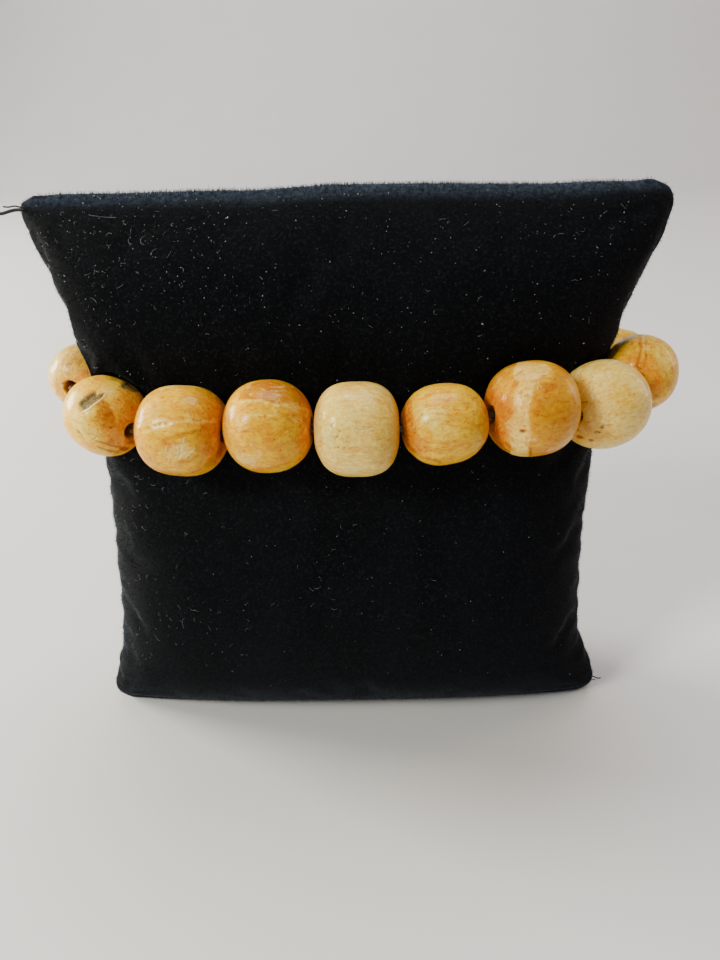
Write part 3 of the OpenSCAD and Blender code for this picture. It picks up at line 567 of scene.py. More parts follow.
def bead_material(i, grain):
    deep = (0.88, 0.60, 0.22, 1) if grain < 0.55 else (0.94, 0.82, 0.55, 1)
    n = Nodes("bead_%02d" % (i + 1))
    tint = n.add("ShaderNodeAttribute", attribute_name="tint").outputs["Color"]
    local = n.add("ShaderNodeAttribute", attribute_name="local").outputs["Vector"]
    wear_and_highlight = n.add("ShaderNodeAttribute", attribute_name="wear_and_highlight").outputs["Color"]
    sep = n.add("ShaderNodeSeparateColor", {"Color": wear_and_highlight})
    hollow, rough_patch = sep.outputs[0], sep.outputs[1]
    warp = n.add("ShaderNodeVectorMath", {0: local, 1: n.add("ShaderNodeVectorMath", {
        0: n.add("ShaderNodeTexNoise", {"Vector": local, "Scale": 0.42, "Detail": 2.0}).outputs["Color"],
        1: (1.5, 1.5, 0.6)}, operation="MULTIPLY").outputs[0]}, operation="ADD").outputs[0]
    fibre = n.noise(n.scaled(warp, (1.0, 1.0, 0.15)), 2.3, 6.0, 0.72, 0.0)
    hair = n.noise(n.scaled(warp, (1.0, 1.0, 0.16)), 5.0, 4.0, 0.7, 0.0)
    streak = n.noise(n.scaled(warp, (1.0, 1.0, 0.20)), 0.95, 5.0, 0.66, 0.0)
    cloud = n.noise(local, 0.42, 5.0, 0.62, 0.4)
    mottle = n.noise(n.scaled(warp, (1.0, 1.0, 0.6)), 1.7, 6.0, 0.7, 0.0)
    fleck = n.noise(n.scaled(warp, (1.0, 1.0, 0.45)), 1.9, 6.0, 0.72, 0.0)
    pores = n.add("ShaderNodeTexVoronoi", {"Vector": n.scaled(local, (1.0, 1.0, 0.5)), "Scale": 2.3,
                                           "Randomness": 1.0}, feature="F1").outputs["Distance"]
    c = n.mix(n.range(streak, 0.50, 0.68, 0.0, 0.85), tint, deep, "MULTIPLY")
    c = n.mix(n.range(cloud, 0.52, 0.70, 0.0, 0.75), c, (1.03, 1.13, 1.35, 1), "MULTIPLY")
    c = n.mix(n.range(cloud, 0.47, 0.30, 0.0, 0.85), c, deep, "MULTIPLY")
    c = n.mix(n.range(mottle, 0.50, 0.60, 0.0, 0.75 if grain < 0.55 else 0.5), c, (0.87, 0.68, 0.40, 1), "MULTIPLY")
    c = n.mix(n.range(mottle, 0.48, 0.38, 0.0, 0.80), c, (1.08, 1.17, 1.6, 1), "MULTIPLY")
    c = n.mix(n.range(fibre, 0.52, 0.62, 0.0, 0.12 + 0.55 * grain), c, (0.75, 0.53, 0.34, 1), "MULTIPLY")
    c = n.mix(n.range(fibre, 0.475, 0.39, 0.0, 0.30 + 0.45 * grain), c, (1.05, 1.20, 1.7, 1), "MULTIPLY")
    c = n.mix(n.range(hair, 0.54, 0.64, 0.0, 0.10 + 0.50 * grain), c, (0.73, 0.50, 0.34, 1), "MULTIPLY")
    c = n.mix(n.range(hair, 0.45, 0.38, 0.0, 0.25 + 0.40 * grain), c, (1.04, 1.20, 1.9, 1), "MULTIPLY")
    c = n.mix(n.range(fleck, 0.585, 0.63, 0.0, 0.85 if grain < 0.55 else 0.5), c, (0.72, 0.40, 0.15, 1), "MULTIPLY")
    c = n.mix(n.range(fleck, 0.40, 0.33, 0.0, 0.40), c, (0.97, 0.76, 0.30, 1))
    pore = n.range(pores, 0.11, 0.05, 0.0, 1.0)
    keep = n.range(cloud, 0.52, 0.60, 0.0, 0.75)
    pore = n.math("MULTIPLY", pore, keep)
    c = n.mix(pore, c, (0.13, 0.055, 0.018, 1))
    grit = n.noise(local, 6.0, 4.0, 0.7, 0.0)
    c = n.mix(n.math("MULTIPLY", n.range(grit, 0.45, 0.62), n.math("MULTIPLY", hollow, 0.6)), c, (0.06, 0.045, 0.022, 1))
    c = n.mix(n.math("MULTIPLY", n.range(grit, 0.52, 0.38), n.math("MULTIPLY", hollow, 0.55)), c, (0.74, 0.57, 0.27, 1))
    c = n.mix(n.math("MULTIPLY", n.range(grit, 0.52, 0.62), n.math("MULTIPLY", rough_patch, 0.5)), c, (0.95, 0.90, 0.74, 1))
    n.put(n.bsdf.inputs["Base Color"], c)
    r = n.math("ADD", n.range(mottle, 0.35, 0.65, 0.22, 0.42), n.math("MULTIPLY", hollow, 0.4))
    n.put(n.bsdf.inputs["Roughness"], n.math("ADD", r, n.math("MULTIPLY", rough_patch, 0.2)))
    h = n.math("ADD", n.math("MULTIPLY", fibre, 0.7), n.math("MULTIPLY", hair, 0.45))
    h = n.math("ADD", h, n.math("MULTIPLY", pore, -0.8))
    h = n.math("ADD", h, n.math("MULTIPLY", n.math("MULTIPLY", grit, 2.0), n.math("ADD", hollow, rough_patch)))
    n.put(n.bsdf.inputs["Normal"], n.bump(h, 0.9, 0.00011 + 0.00005 * grain))
    n.put(n.bsdf.inputs["Coat Normal"], n.bump(h, 0.35, 0.00004))
    n.bsdf.inputs["Specular IOR Level"].default_value = 0.10
    n.bsdf.inputs["Specular Tint"].default_value = (1.0, 0.80, 0.45, 1)
    n.bsdf.inputs["Coat Weight"].default_value = 0.30
    n.bsdf.inputs["Coat Roughness"].default_value = 0.14
    n.bsdf.inputs["Subsurface Weight"].default_value = 0.0
    n.bsdf.inputs["Subsurface Radius"].default_value = (1.0, 0.45, 0.18)
    n.bsdf.inputs["Subsurface Scale"].default_value = 0.0012
    return n.mat


def make_bead(i):
    shown = i <= 9
    pts, faces, outside = bead_grid(i, 168 if shown else 104, 104 if shown else 60)
    axis = turned(AXES[i])[0]
    tilt = (Matrix.Rotation(math.atan2(axis[1], axis[0]), 3, "Z") @ Matrix.Rotation(math.acos(axis[2]), 3, "Y"))
    rot = np.array(tilt)
    centre = placed(CENTRES[i])[0]
    world = pts @ rot.T + centre
    nrm = normals_of(pts, faces)
    seed = 3 + 5 * i
    # The worn, slightly uneven outside. It only ever goes inwards.
    lump = noise(pts, 0.16, seed, 2)
    sink = 0.16 * ramp(lump, 0.35, 0.85) + 0.035 * noise(pts, 0.9, seed + 1, 3)
    dimple = noise(pts * np.array([1.0, 1.0, 0.6]), 1.15, seed + 2, 2)
    sink = sink + 0.055 * ramp(dimple, 0.74, 0.86)
    sink = sink * ramp(np.hypot(pts[:, 0], pts[:, 1]), 2.2, 4.2)
    hollow = np.zeros(len(pts))
    uv = to_frame(world)
    facing = ramp(-((world - EYE) / np.linalg.norm(world - EYE, axis=1)[:, None] * (nrm @ rot.T)).sum(axis=1), 0.02, 0.12)
    facing = facing * outside
    wob = np.stack([noise(pts, 1.6, seed + 3, 3) - 0.5, noise(pts, 1.6, seed + 4, 3) - 0.5], axis=1)
    for depth, shape, where, size in PITS.get(i, []):
        m = shape_mask(uv, wob * 1.2, shape, where, size) * facing
        rough = 0.72 + 0.56 * noise(pts, 3.0, seed + 5, 2)
        sink = sink + depth * m * (rough if depth > 0.1 else 1.0)
        if depth > 0.3:
            hollow = np.maximum(hollow, m)
    # Chips round the two mouths of the bore.
    end = np.hypot(pts[:, 0], pts[:, 1])
    lip = ramp(end, 3.0, 1.2) * outside
    sink = sink + (0.20 if i in (0, 1) else 0.05) * lip * ramp(noise(pts, 0.8, seed + 6, 2), 0.5, 0.75)
    pts = pts - nrm * (sink * outside)[:, None]
    # Colours.
    main, second, third, share2, share3, grain = TONES[i]
    col = np.tile(np.array(C[main]), (len(pts), 1))
    low = noise(pts * np.array([1.0, 1.0, 0.7]), 0.17, seed + 7, 3)
    mid = noise(pts * np.array([1.0, 1.0, 0.5]), 0.34, seed + 8, 3)
    col = blend_colour(col, C[second], ramp(low, 0.62 - 0.35 * share2, 0.78 - 0.35 * share2) * 0.85)
    col = blend_colour(col, C[third], ramp(mid, 0.70 - 0.35 * share3, 0.82 - 0.35 * share3) * 0.7)
    seen = ramp(facing, 0.0, 0.6)[:, None]
    plain = np.tile(np.array(C[main]), (len(pts), 1))
    plain = blend_colour(plain, C[second], ramp(low, 0.45, 0.75) * 0.4)
    if i in MARKS and len(MARKS[i]) > 3:
        col = col * (1 - seen) + plain * seen
    patch = np.zeros(len(pts))
    for colour, strength, shape, where, size in MARKS.get(i, []):
        fine = 0.5 if (shape == "line" or size if not isinstance(size, tuple) else min(size[:2]) < 3) else 1.6
        m = shape_mask(uv, wob * (1.3 if fine == 0.5 else 4.0), shape, where, size)
        m = m * facing * strength * {"white": 0.55, "rust": 1.5}.get(colour, 1.2) * (0.8 + 0.4 * noise(pts, 2.0, seed + 9, 2))
        col = blend_colour(col, C[colour], np.clip(m, 0, 1))
        if colour == "white":
            patch = np.maximum(patch, m)
    # Deeper, more orange tone towards both ends, broken up, partly the beads' own tone and partly painted shade for
    # their warm, turned-away edges; and tan in the bore and just round it.
    tip = ramp(np.abs(pts[:, 2]) / (BEADS[i][0] / 2) + 0.16 * (noise(pts, 0.7, seed + 10, 3) - 0.5), 0.66, 0.97)
    tip = tip * (0.35 if main == "cream" else 0.85) * (0.6 + 0.7 * noise(pts, 0.4, seed + 11, 2))
    col = col * (1 + (np.array([0.85, 0.53, 0.16]) - 1) * np.clip(tip, 0, 1)[:, None])
    col = blend_colour(col, C["tan"], np.clip(ramp(end, 1.7, 1.15) * 0.5 + 0.4 * (1 - outside), 0, 1))
    ob = mesh_object("bead_%02d_worn" % (i + 1), pts, faces,
                     matrix=Matrix.Translation(Vector(centre * MM)) @ tilt.to_4x4())
    set_colour(ob, "tint", col)
    set_vector(ob, "local", pts + 20.0 * i)
    # The pits, and the white marks, some of them painted highlights, which the material lightens and roughens.
    set_colour(ob, "wear_and_highlight", np.stack([hollow, np.clip(patch, 0, 1), np.zeros(len(pts))], axis=1))
    ob.data.materials.append(bead_material(i, grain))
    node = "bead_%02d" % (i + 1)
    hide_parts(node)
    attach(ob, "root")
    return ob


# ---------------------------------------------------------------- the pillow

# up, left, right, front, back, seam_l, seam_r: the same form as in the solid model.
PILLOW = np.array([
    (0, 44.2, 43.8, 0.6, 13, 0, 0), (3, 44.8, 44.6, 5, 15.6, 0, 0), (8, 43.6, 43.4, 9, 16.6, 0, 0),
    (15, 41.6, 40.8, 12, 16.6, 0, 0), (25, 40, 39.5, 14.2, 16.2, 0.4, 0), (38, 38.6, 39.1, 14.6, 15, 1.5, -0.8),
    (50, 37.4, 39.6, 13.8, 13.6, 3, -2.5), (58, 36.8, 40, 13.2, 12.6, 4.2, -4.5), (65, 36.8, 40.4, 13.2, 12.4, 4.5, -5),
    (72, 38.2, 41.2, 13.2, 12.4, 4, -3.5), (78.5, 40.2, 42.4, 12, 11.4, 2.6, -1.5), (84, 42.6, 44.6, 9, 8.8, 1, 0),
    (87.6, 44.4, 45.6, 5.6, 5.4, 0, 0), (89.4, 44, 44.6, 2.4, 2.4, 0, 0), (90, 42.6, 43, 0.7, 0.7, 0, 0),
])
ACROSS, UP = 60, 66


def level(c, t):
    x, y = PILLOW[:, 0], PILLOW[:, c]
    slope = np.empty_like(y)
    slope[1:-1] = (y[2:] - y[:-2]) / (x[2:] - x[:-2])
    slope[0], slope[-1] = (y[1] - y[0]) / (x[1] - x[0]), (y[-1] - y[-2]) / (x[-1] - x[-2])
    k = np.clip(np.searchsorted(x, t, side="right") - 1, 0, len(x) - 2)
    d = x[k + 1] - x[k]
    s = (t - x[k]) / d
    return ((2 * s ** 3 - 3 * s ** 2 + 1) * y[k] + (s ** 3 - 2 * s ** 2 + s) * d * slope[k]
            + (3 * s ** 2 - 2 * s ** 3) * y[k + 1] + (s ** 3 - s ** 2) * d * slope[k + 1])


def press(p, gap):
    """Moves points out of every bead, grown by the gap."""
    for i, (length, dia, sq, *_r) in enumerate(BEADS):
        g = gap + (0.25 if i == 0 else 0)
        d = p - CENTRES[i]
        al = d @ AXES[i]
        off = np.linalg.norm(d - al[:, None] * AXES[i], axis=1)
        f = (np.abs(al) / (length / 2 + g)) ** sq + (off / (dia / 2 + g)) ** sq
        m = f < 1
        p[m] = CENTRES[i] + d[m] * (f[m] ** (-1 / sq))[:, None]
    return p


def finer(g, axis, periodic):
    """Doubles a grid of points along one axis, on smooth curves."""
    n = g.shape[axis]
    g = np.moveaxis(g, axis, 0)
    if periodic:
        a, b, c, d = np.roll(g, 1, 0), g, np.roll(g, -1, 0), np.roll(g, -2, 0)
        mid = (-a + 9 * b + 9 * c - d) / 16
        out = np.empty((2 * n,) + g.shape[1:])
        out[0::2], out[1::2] = g, mid
    else:
        mid = (g[:-1] + g[1:]) / 2
        mid[1:-1] = (-g[:-3] + 9 * g[1:-2] + 9 * g[2:-1] - g[3:]) / 16
        out = np.empty((2 * n - 1,) + g.shape[1:])
        out[0::2], out[1::2] = g, mid
    return np.moveaxis(out, 0, axis)


def grid_faces(rows, cols):
    j, k = np.meshgrid(np.arange(rows - 1), np.arange(cols), indexing="ij")
    a, b = j * cols + k, j * cols + (k + 1) % cols
    c, d = (j + 1) * cols + (k + 1) % cols, (j + 1) * cols + k
    return np.stack([a, b, c, d], axis=2).reshape(-1, 4)


def cap_faces(rows, cols):
    """Closes the foot and the top of the tube of levels with strips of quads, front to back."""
    half = cols // 2
    out = []
    for k in range(half):
        a, b, c, d = k, k + 1, (cols - k - 1) % cols, (cols - k) % cols
        out.append((a, d, c, b))
        o = cols * (rows - 1)
        out.append((o + a, o + b, o + c, o + d))
    return np.array(out)


def loose_pillow():
    ups = np.unique(np.r_[np.linspace(0, 6, 6), np.linspace(6, 54, 26), np.linspace(54, 72, 16),
                          np.linspace(72, 85, 10), np.linspace(85, 90, 7)])
    k = np.arange(2 * ACROSS)
    u = -np.cos(np.pi * k / ACROSS)
    front = k <= ACROSS
    t, uu = np.meshgrid(ups, u, indexing="ij")
    ff = np.broadcast_to(front, t.shape)
    tf = t.ravel()
    half = np.where(uu < 0, level(1, tf).reshape(t.shape), level(2, tf).reshape(t.shape))
    seam = np.where(uu < 0, level(5, tf).reshape(t.shape), level(6, tf).reshape(t.shape)) * np.abs(uu) ** 4
    deep = np.where(ff, level(3, tf).reshape(t.shape), -level(4, tf).reshape(t.shape))
    body = np.sqrt(np.maximum(0, 1 - np.abs(uu) ** 3))
    p = np.stack([uu * half, seam + deep * body, t + 0.2 * (1 - uu ** 2) * (t / 90) ** 4], axis=2)
    return p, uu, t


def puff(grid):
    """Cloth under pressure, its cut a little fuller than its seams: it swells between the beads and
    puckers along the side seams. Worked ten times life size."""
    rows, cols = grid.shape[:2]
    big = placed(grid.reshape(-1, 3)) * 10
    faces = np.vstack([grid_faces(rows, cols), cap_faces(rows, cols)])
    ob = mesh_object("cloth_work", big, faces)
    held = set(range(cols)) | set(range(cols * (rows - 1), cols * rows))
    held |= {j * cols + k for j in range(rows) for k in (0, ACROSS)}
    group = ob.vertex_groups.new(name="held")
    group.add(sorted(held), 1.0, "REPLACE")
    # The string of beads holds the velvet in along its track.
    flat = grid.reshape(-1, 3)
    near = np.full(len(flat), 99.0)
    for i, (length, dia, *_r) in enumerate(BEADS):
        near = np.minimum(near, np.linalg.norm(flat - CENTRES[i], axis=1) - max(length, dia) / 2)
    for v in np.where(near < 1.2)[0]:
        if int(v) not in held:
            group.add([int(v)], 0.85, "REPLACE")
    m = ob.modifiers.new("Cloth", "CLOTH")
    s = m.settings
    s.quality, s.mass = 5, 0.25
    s.tension_stiffness = s.compression_stiffness = 18
    s.shear_stiffness, s.bending_stiffness = 6, 0.6
    s.use_pressure, s.uniform_pressure_force = True, 3.0
    s.vertex_group_mass, s.pin_stiffness = "held", 1.0
    s.shrink_min = -0.02
    s.effector_weights.gravity = 0
    m.collision_settings.use_collision = False
    m.collision_settings.use_self_collision = False
    m.point_cache.frame_start, m.point_cache.frame_end = 1, 20
    for f in range(1, 21):
        scene.frame_set(f)
    deps = bpy.context.evaluated_depsgraph_get()
    co = np.empty(len(big) * 3, np.float32)
    ob.evaluated_get(deps).data.vertices.foreach_get("co", co)
    moved = co.reshape(-1, 3).astype(float) / MM - big
    scene.frame_set(1)
    bpy.data.objects.remove(ob)
    moved = moved / 10
    size = np.linalg.norm(moved, axis=1)
    cap = 0.6
    up = grid.reshape(-1, 3)[:, 2]
    tame = ramp(up, 1, 14) * ramp(up, 90, 80)
    moved *= (tame * cap * np.tanh(size / cap) / np.maximum(size, 1e-9))[:, None]
    # Back from the standing frame to the pillow's own.
    back = np.stack([moved[:, 0], -moved[:, 1] * math.cos(LEAN) + moved[:, 2] * math.sin(LEAN),
                     moved[:, 1] * math.sin(LEAN) + moved[:, 2] * math.cos(LEAN)], axis=1)
    print("cloth moved up to %.2f mm, mean %.2f" % (np.linalg.norm(moved, axis=1).max(), np.linalg.norm(moved, axis=1).mean()))
    return grid + back.reshape(grid.shape)


def velvet_material(name, base, sheen, rim_sheen=(0.045, 0.052, 0.066, 1), bump=True):
    n = Nodes(name)
    co = n.add("ShaderNodeTexCoord").outputs["Object"]
    pile = n.noise(co, 2600.0, 2.0, 0.6)
    nap = n.noise(n.scaled(co, (1.0, 1.0, 0.45)), 95.0, 4.0, 0.6, 0.8)
    hand = n.noise(n.scaled(co, (1.0, 1.0, 1.6)), 34.0, 3.0, 0.5, 0.4)
    c = n.mix(n.range(nap, 0.42, 0.66), (base[0] * 0.8, base[1] * 0.8, base[2] * 0.8, 1),
              (base[0] * 1.2, base[1] * 1.2, base[2] * 1.25, 1))
    c = n.mix(n.range(pile, 0.52, 0.72, 0.0, 0.8), c, (base[0] * 4.5, base[1] * 4.5, base[2] * 5.0, 1))
    # Painted sheen: the colour lightens to the rim colour as the surface turns edge-on to the view.
    graze = n.add("ShaderNodeLayerWeight", {"Blend": 0.5}).outputs["Facing"]
    c = n.mix(n.math("POWER", n.range(graze, 0.6, 1.0), 3.0), c, rim_sheen)
    # Painted sheen on the band in the bend attribute, along the top edge, the lower side seams and the foot, partly the
    # pile opened at the bends.
    wear_and_sheen = n.add("ShaderNodeAttribute", attribute_name="bend").outputs["Fac"]
    wear_and_sheen = n.math("MULTIPLY", wear_and_sheen, n.range(n.noise(co, 1300.0, 3.0, 0.7), 0.36, 0.66, 0.25, 1.0))
    c = n.mix(wear_and_sheen, c, (0.050, 0.069, 0.107, 1))
    n.put(n.bsdf.inputs["Base Color"], c)
    n.put(n.bsdf.inputs["Roughness"], n.range(hand, 0.35, 0.65, 0.93, 1.0))
    n.bsdf.inputs["Specular IOR Level"].default_value = 0.08
    n.bsdf.inputs["Sheen Weight"].default_value = sheen
    n.bsdf.inputs["Sheen Roughness"].default_value = 0.32
    n.bsdf.inputs["Sheen Tint"].default_value = (0.48, 0.60, 0.85, 1)
    if bump:
        h = n.math("ADD", n.math("MULTIPLY", pile, 0.5), n.math("MULTIPLY", nap, 0.5))
        n.put(n.bsdf.inputs["Normal"], n.bump(h, 0.55, 0.00012))
    return n.mat


def make_pillow():
    grid, uu, tt = loose_pillow()
    flat = press(press(grid.reshape(-1, 3).copy(), 0.45), 0.45)
    near = (np.abs(grid[..., 2] - 62) < 10)[..., None]
    grid = np.where(near, flat.reshape(grid.shape), grid)
    grid = puff(grid)
    stack = np.concatenate([grid, uu[..., None], tt[..., None]], axis=2)
    stack = finer(stack, 0, False)
    stack = finer(stack, 0, False)
    stack = finer(stack, 1, True)
    stack[..., 3] = np.clip(stack[..., 3], -1, 1)
    rows, cols = stack.shape[:2]
    p, u, t = stack[..., :3].reshape(-1, 3), stack[..., 3].ravel(), stack[..., 4].ravel()
    faces = np.vstack([grid_faces(rows, cols), cap_faces(rows, cols)])
    nrm = normals_of(p, faces)
    # Distance from the side seam along the cloth.
    g = 1 - np.abs(u)
    ds = np.sqrt((40 * g) ** 2 + 14.0 ** 2 * np.minimum(3 * g, 1))
    side = np.sign(u)
    sway = 1.3 * np.sin(t / 9.0 + side) + 0.8 * np.sin(t / 3.7 + 2 * side)
    wave = 0.5 + 0.5 * np.cos(2 * math.pi * (t + sway) / 4.1 + side * 1.7)
    body = ramp(t, 2, 8) * (0.12 + 0.88 * ramp(t, 66, 54)) * ramp(t, 90, 84)
    vary = 0.55 + 0.9 * noise(np.stack([side * 30, t * 0, t], axis=1), 0.12, 5, 2)
    stitch = wave ** 2.2
    p[:, 0] -= side * body * vary * 0.50 * stitch * np.exp(-ds / 1.9)
    p[:, 0] -= side * 0.30 * np.exp(-(ds / 0.4) ** 2) * ramp(t, 1, 4) * ramp(t, 90, 87)
    p[:, 2] += np.interp(p[:, 0], [-20, -12, -1, 14, 29, 38, 44, 48], [0, -0.1, 0.42, 0.28, 0, 0.3, 0.55, 0.55]) * ramp(t, 78, 89)
    p += nrm * (body * vary * (0.22 * (0.42 - stitch)) * np.exp(-((ds - 3.2) / 3.4) ** 2))[:, None]
    wider = np.where(side < 0, np.interp(t, [0, 0.6, 1.4, 2.6, 4, 6, 30, 52, 74, 84, 90], [-1.5, -0.5, 0.15, 0.55, 0.7, 0.7, 1.0, 0.8, 0.4, 0.6, 0.1]),
                     np.interp(t, [0, 0.6, 1.4, 2.6, 4, 6, 30, 52, 72, 80, 87, 90], [-1.5, -0.5, 0.1, 0.4, 0.5, 0.5, 0.6, 0.7, 1.1, 1.25, 0.6, 0.0]))
    p[:, 0] += side * wider * np.abs(u) ** 3
    # Drag folds that run in from the four corners.
    for cx, ct, amp in ((-44.5, 88.5, 0.16), (45.4, 88.5, 0.22), (-44.6, 2.0, 0.17), (44.4, 2.0, 0.13)):
        dx, dt = p[:, 0] - cx, p[:, 2] - ct
        r = np.hypot(dx, dt)
        ang = np.arctan2(np.abs(dt), np.abs(dx))
        fold = np.cos(ang * 13 + 0.5 * np.sin(r / 5) + cx) * ramp(r, 2.0, 6.0) * np.exp(-r / 11.0)
        p += nrm * (amp * fold * ramp(ds, 0.5, 5))[:, None]
    # Uneven filling.
    p += nrm * (0.5 * (noise(p, 0.055, 31, 2) - 0.5) * ramp(ds, 1, 8) * ramp(t, 3, 12) * ramp(t, 90, 82))[:, None]
    p = press(press(p, 0.38), 0.38)
    w = placed(p)
    rest = np.repeat(np.arange(rows), cols)
    w[:, 2] = np.where(rest == 0, 0.0, np.maximum(w[:, 2], 0.004 * rest))
    ob = mesh_object("pillow_velvet", w, faces)
    ob.data.materials.append(velvet_material("velvet", (0.0023, 0.0027, 0.0036), 0.05))
    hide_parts("pillow")
    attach(ob, "root")
    # The bend attribute: a band for painted sheen along the top edge, the lower side seams and the foot, partly the
    # pile opened at the bends.
    bend = np.clip(ramp(t, 88.0, 90.2) + 0.55 * np.exp(-ds / 1.3) * ramp(t, 0, 10) + 0.25 * ramp(t, 4.0, 1.5), 0, 1)
    bend = bend * (0.55 + 0.75 * noise(p, 0.5, 41, 3))
    wear_and_sheen = ob.data.attributes.new("bend", "FLOAT", "POINT")
    wear_and_sheen.data.foreach_set("value", bend.astype(np.float32))
    return ob, w, faces, u, t, ds, bend


def make_pile(w, faces, bend):
    """Fine upright pile, so that the velvet's edge is soft and not a clean line."""
    tri = np.vstack([faces[:, [0, 1, 2]], faces[:, [0, 2, 3]]])
    a, b, c = w[tri[:, 0]], w[tri[:, 1]], w[tri[:, 2]]
    cr = np.cross(b - a, c - a)
    area = np.linalg.norm(cr, axis=1) / 2 * (1 + 2.5 * bend[tri].mean(axis=1))
    count = 150000
    pick = rng.choice(len(tri), count, p=area / area.sum())
    s, q = rng.random(count), rng.random(count)
    flip = s + q > 1
    s[flip], q[flip] = 1 - s[flip], 1 - q[flip]
    root = a[pick] + (b - a)[pick] * s[:, None] + (c - a)[pick] * q[:, None]
    nn = cr[pick] / np.maximum(np.linalg.norm(cr[pick], axis=1), 1e-9)[:, None]
    keep = (root[:, 2] > 0.5) & (nn[:, 2] > -0.93)
    root, nn = root[keep], nn[keep]
    # The painted sheen band at each root, which also lengthens the pile there.
    open_and_sheen = bend[tri[pick]].mean(axis=1)[keep]
    m = len(root)
    lean = nn + np.array([0.0, 0.0, -0.25]) + rng.normal(0, 0.33, (m, 3))
    lean /= np.linalg.norm(lean, axis=1)[:, None]
    height = (rng.uniform(0.22, 0.48, m) * np.where(rng.random(m) < 0.03, 1.7, 1.0) * (1 + 0.5 * open_and_sheen))[:, None]
    side = np.cross(lean, rng.normal(0, 1, (m, 3)))
    side /= np.linalg.norm(side, axis=1)[:, None]
    width = rng.uniform(0.022, 0.038, m)[:, None]
    root = root - nn * 0.04
    verts = np.stack([root - side * width, root + side * width, root + lean * height], axis=1).reshape(-1, 3)
    ob = mesh_object("pillow_pile", verts, np.arange(3 * m).reshape(-1, 3), smooth=False)
    wear_and_sheen = ob.data.attributes.new("bend", "FLOAT", "POINT")
    wear_and_sheen.data.foreach_set("value", np.repeat(open_and_sheen, 3).astype(np.float32))
    ob.data.materials.append(velvet_material("velvet_pile", (0.0040, 0.0051, 0.0076), 0.08, (0.012, 0.0135, 0.017, 1), bump=False))
    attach(ob, "root")


def tube(path, radius, sides=4, taper=True):
    path = np.asarray(path, float)
    n = len(path)
    tan = np.gradient(path, axis=0)
    tan /= np.linalg.norm(tan, axis=1)[:, None]
    ref = np.array([0.31, 0.52, 0.79])
    x = np.cross(tan, ref)
    x /= np.linalg.norm(x, axis=1)[:, None]
    y = np.cross(tan, x)
    r = np.full(n, radius)
    if taper:
        r[0] = r[-1] = radius * 0.35
    ang = np.arange(sides) * 2 * math.pi / sides
    ring = (path[:, None] + r[:, None, None] * (np.cos(ang)[None, :, None] * x[:, None] + np.sin(ang)[None, :, None] * y[:, None]))
    verts = ring.reshape(-1, 3)
    faces = grid_faces(n, sides)[:, ::-1]
    start = np.array([[0, 1, 2, 3]])
    end = np.array([[3, 2, 1, 0]]) + (n - 1) * sides
    return verts, np.vstack([faces, start, end])


def joined(parts):
    verts, faces, base = [], [], 0
    for v, f in parts:
        verts.append(v)
        faces.append(f + base)
        base += len(v)
    return np.vstack(verts), np.vstack(faces)


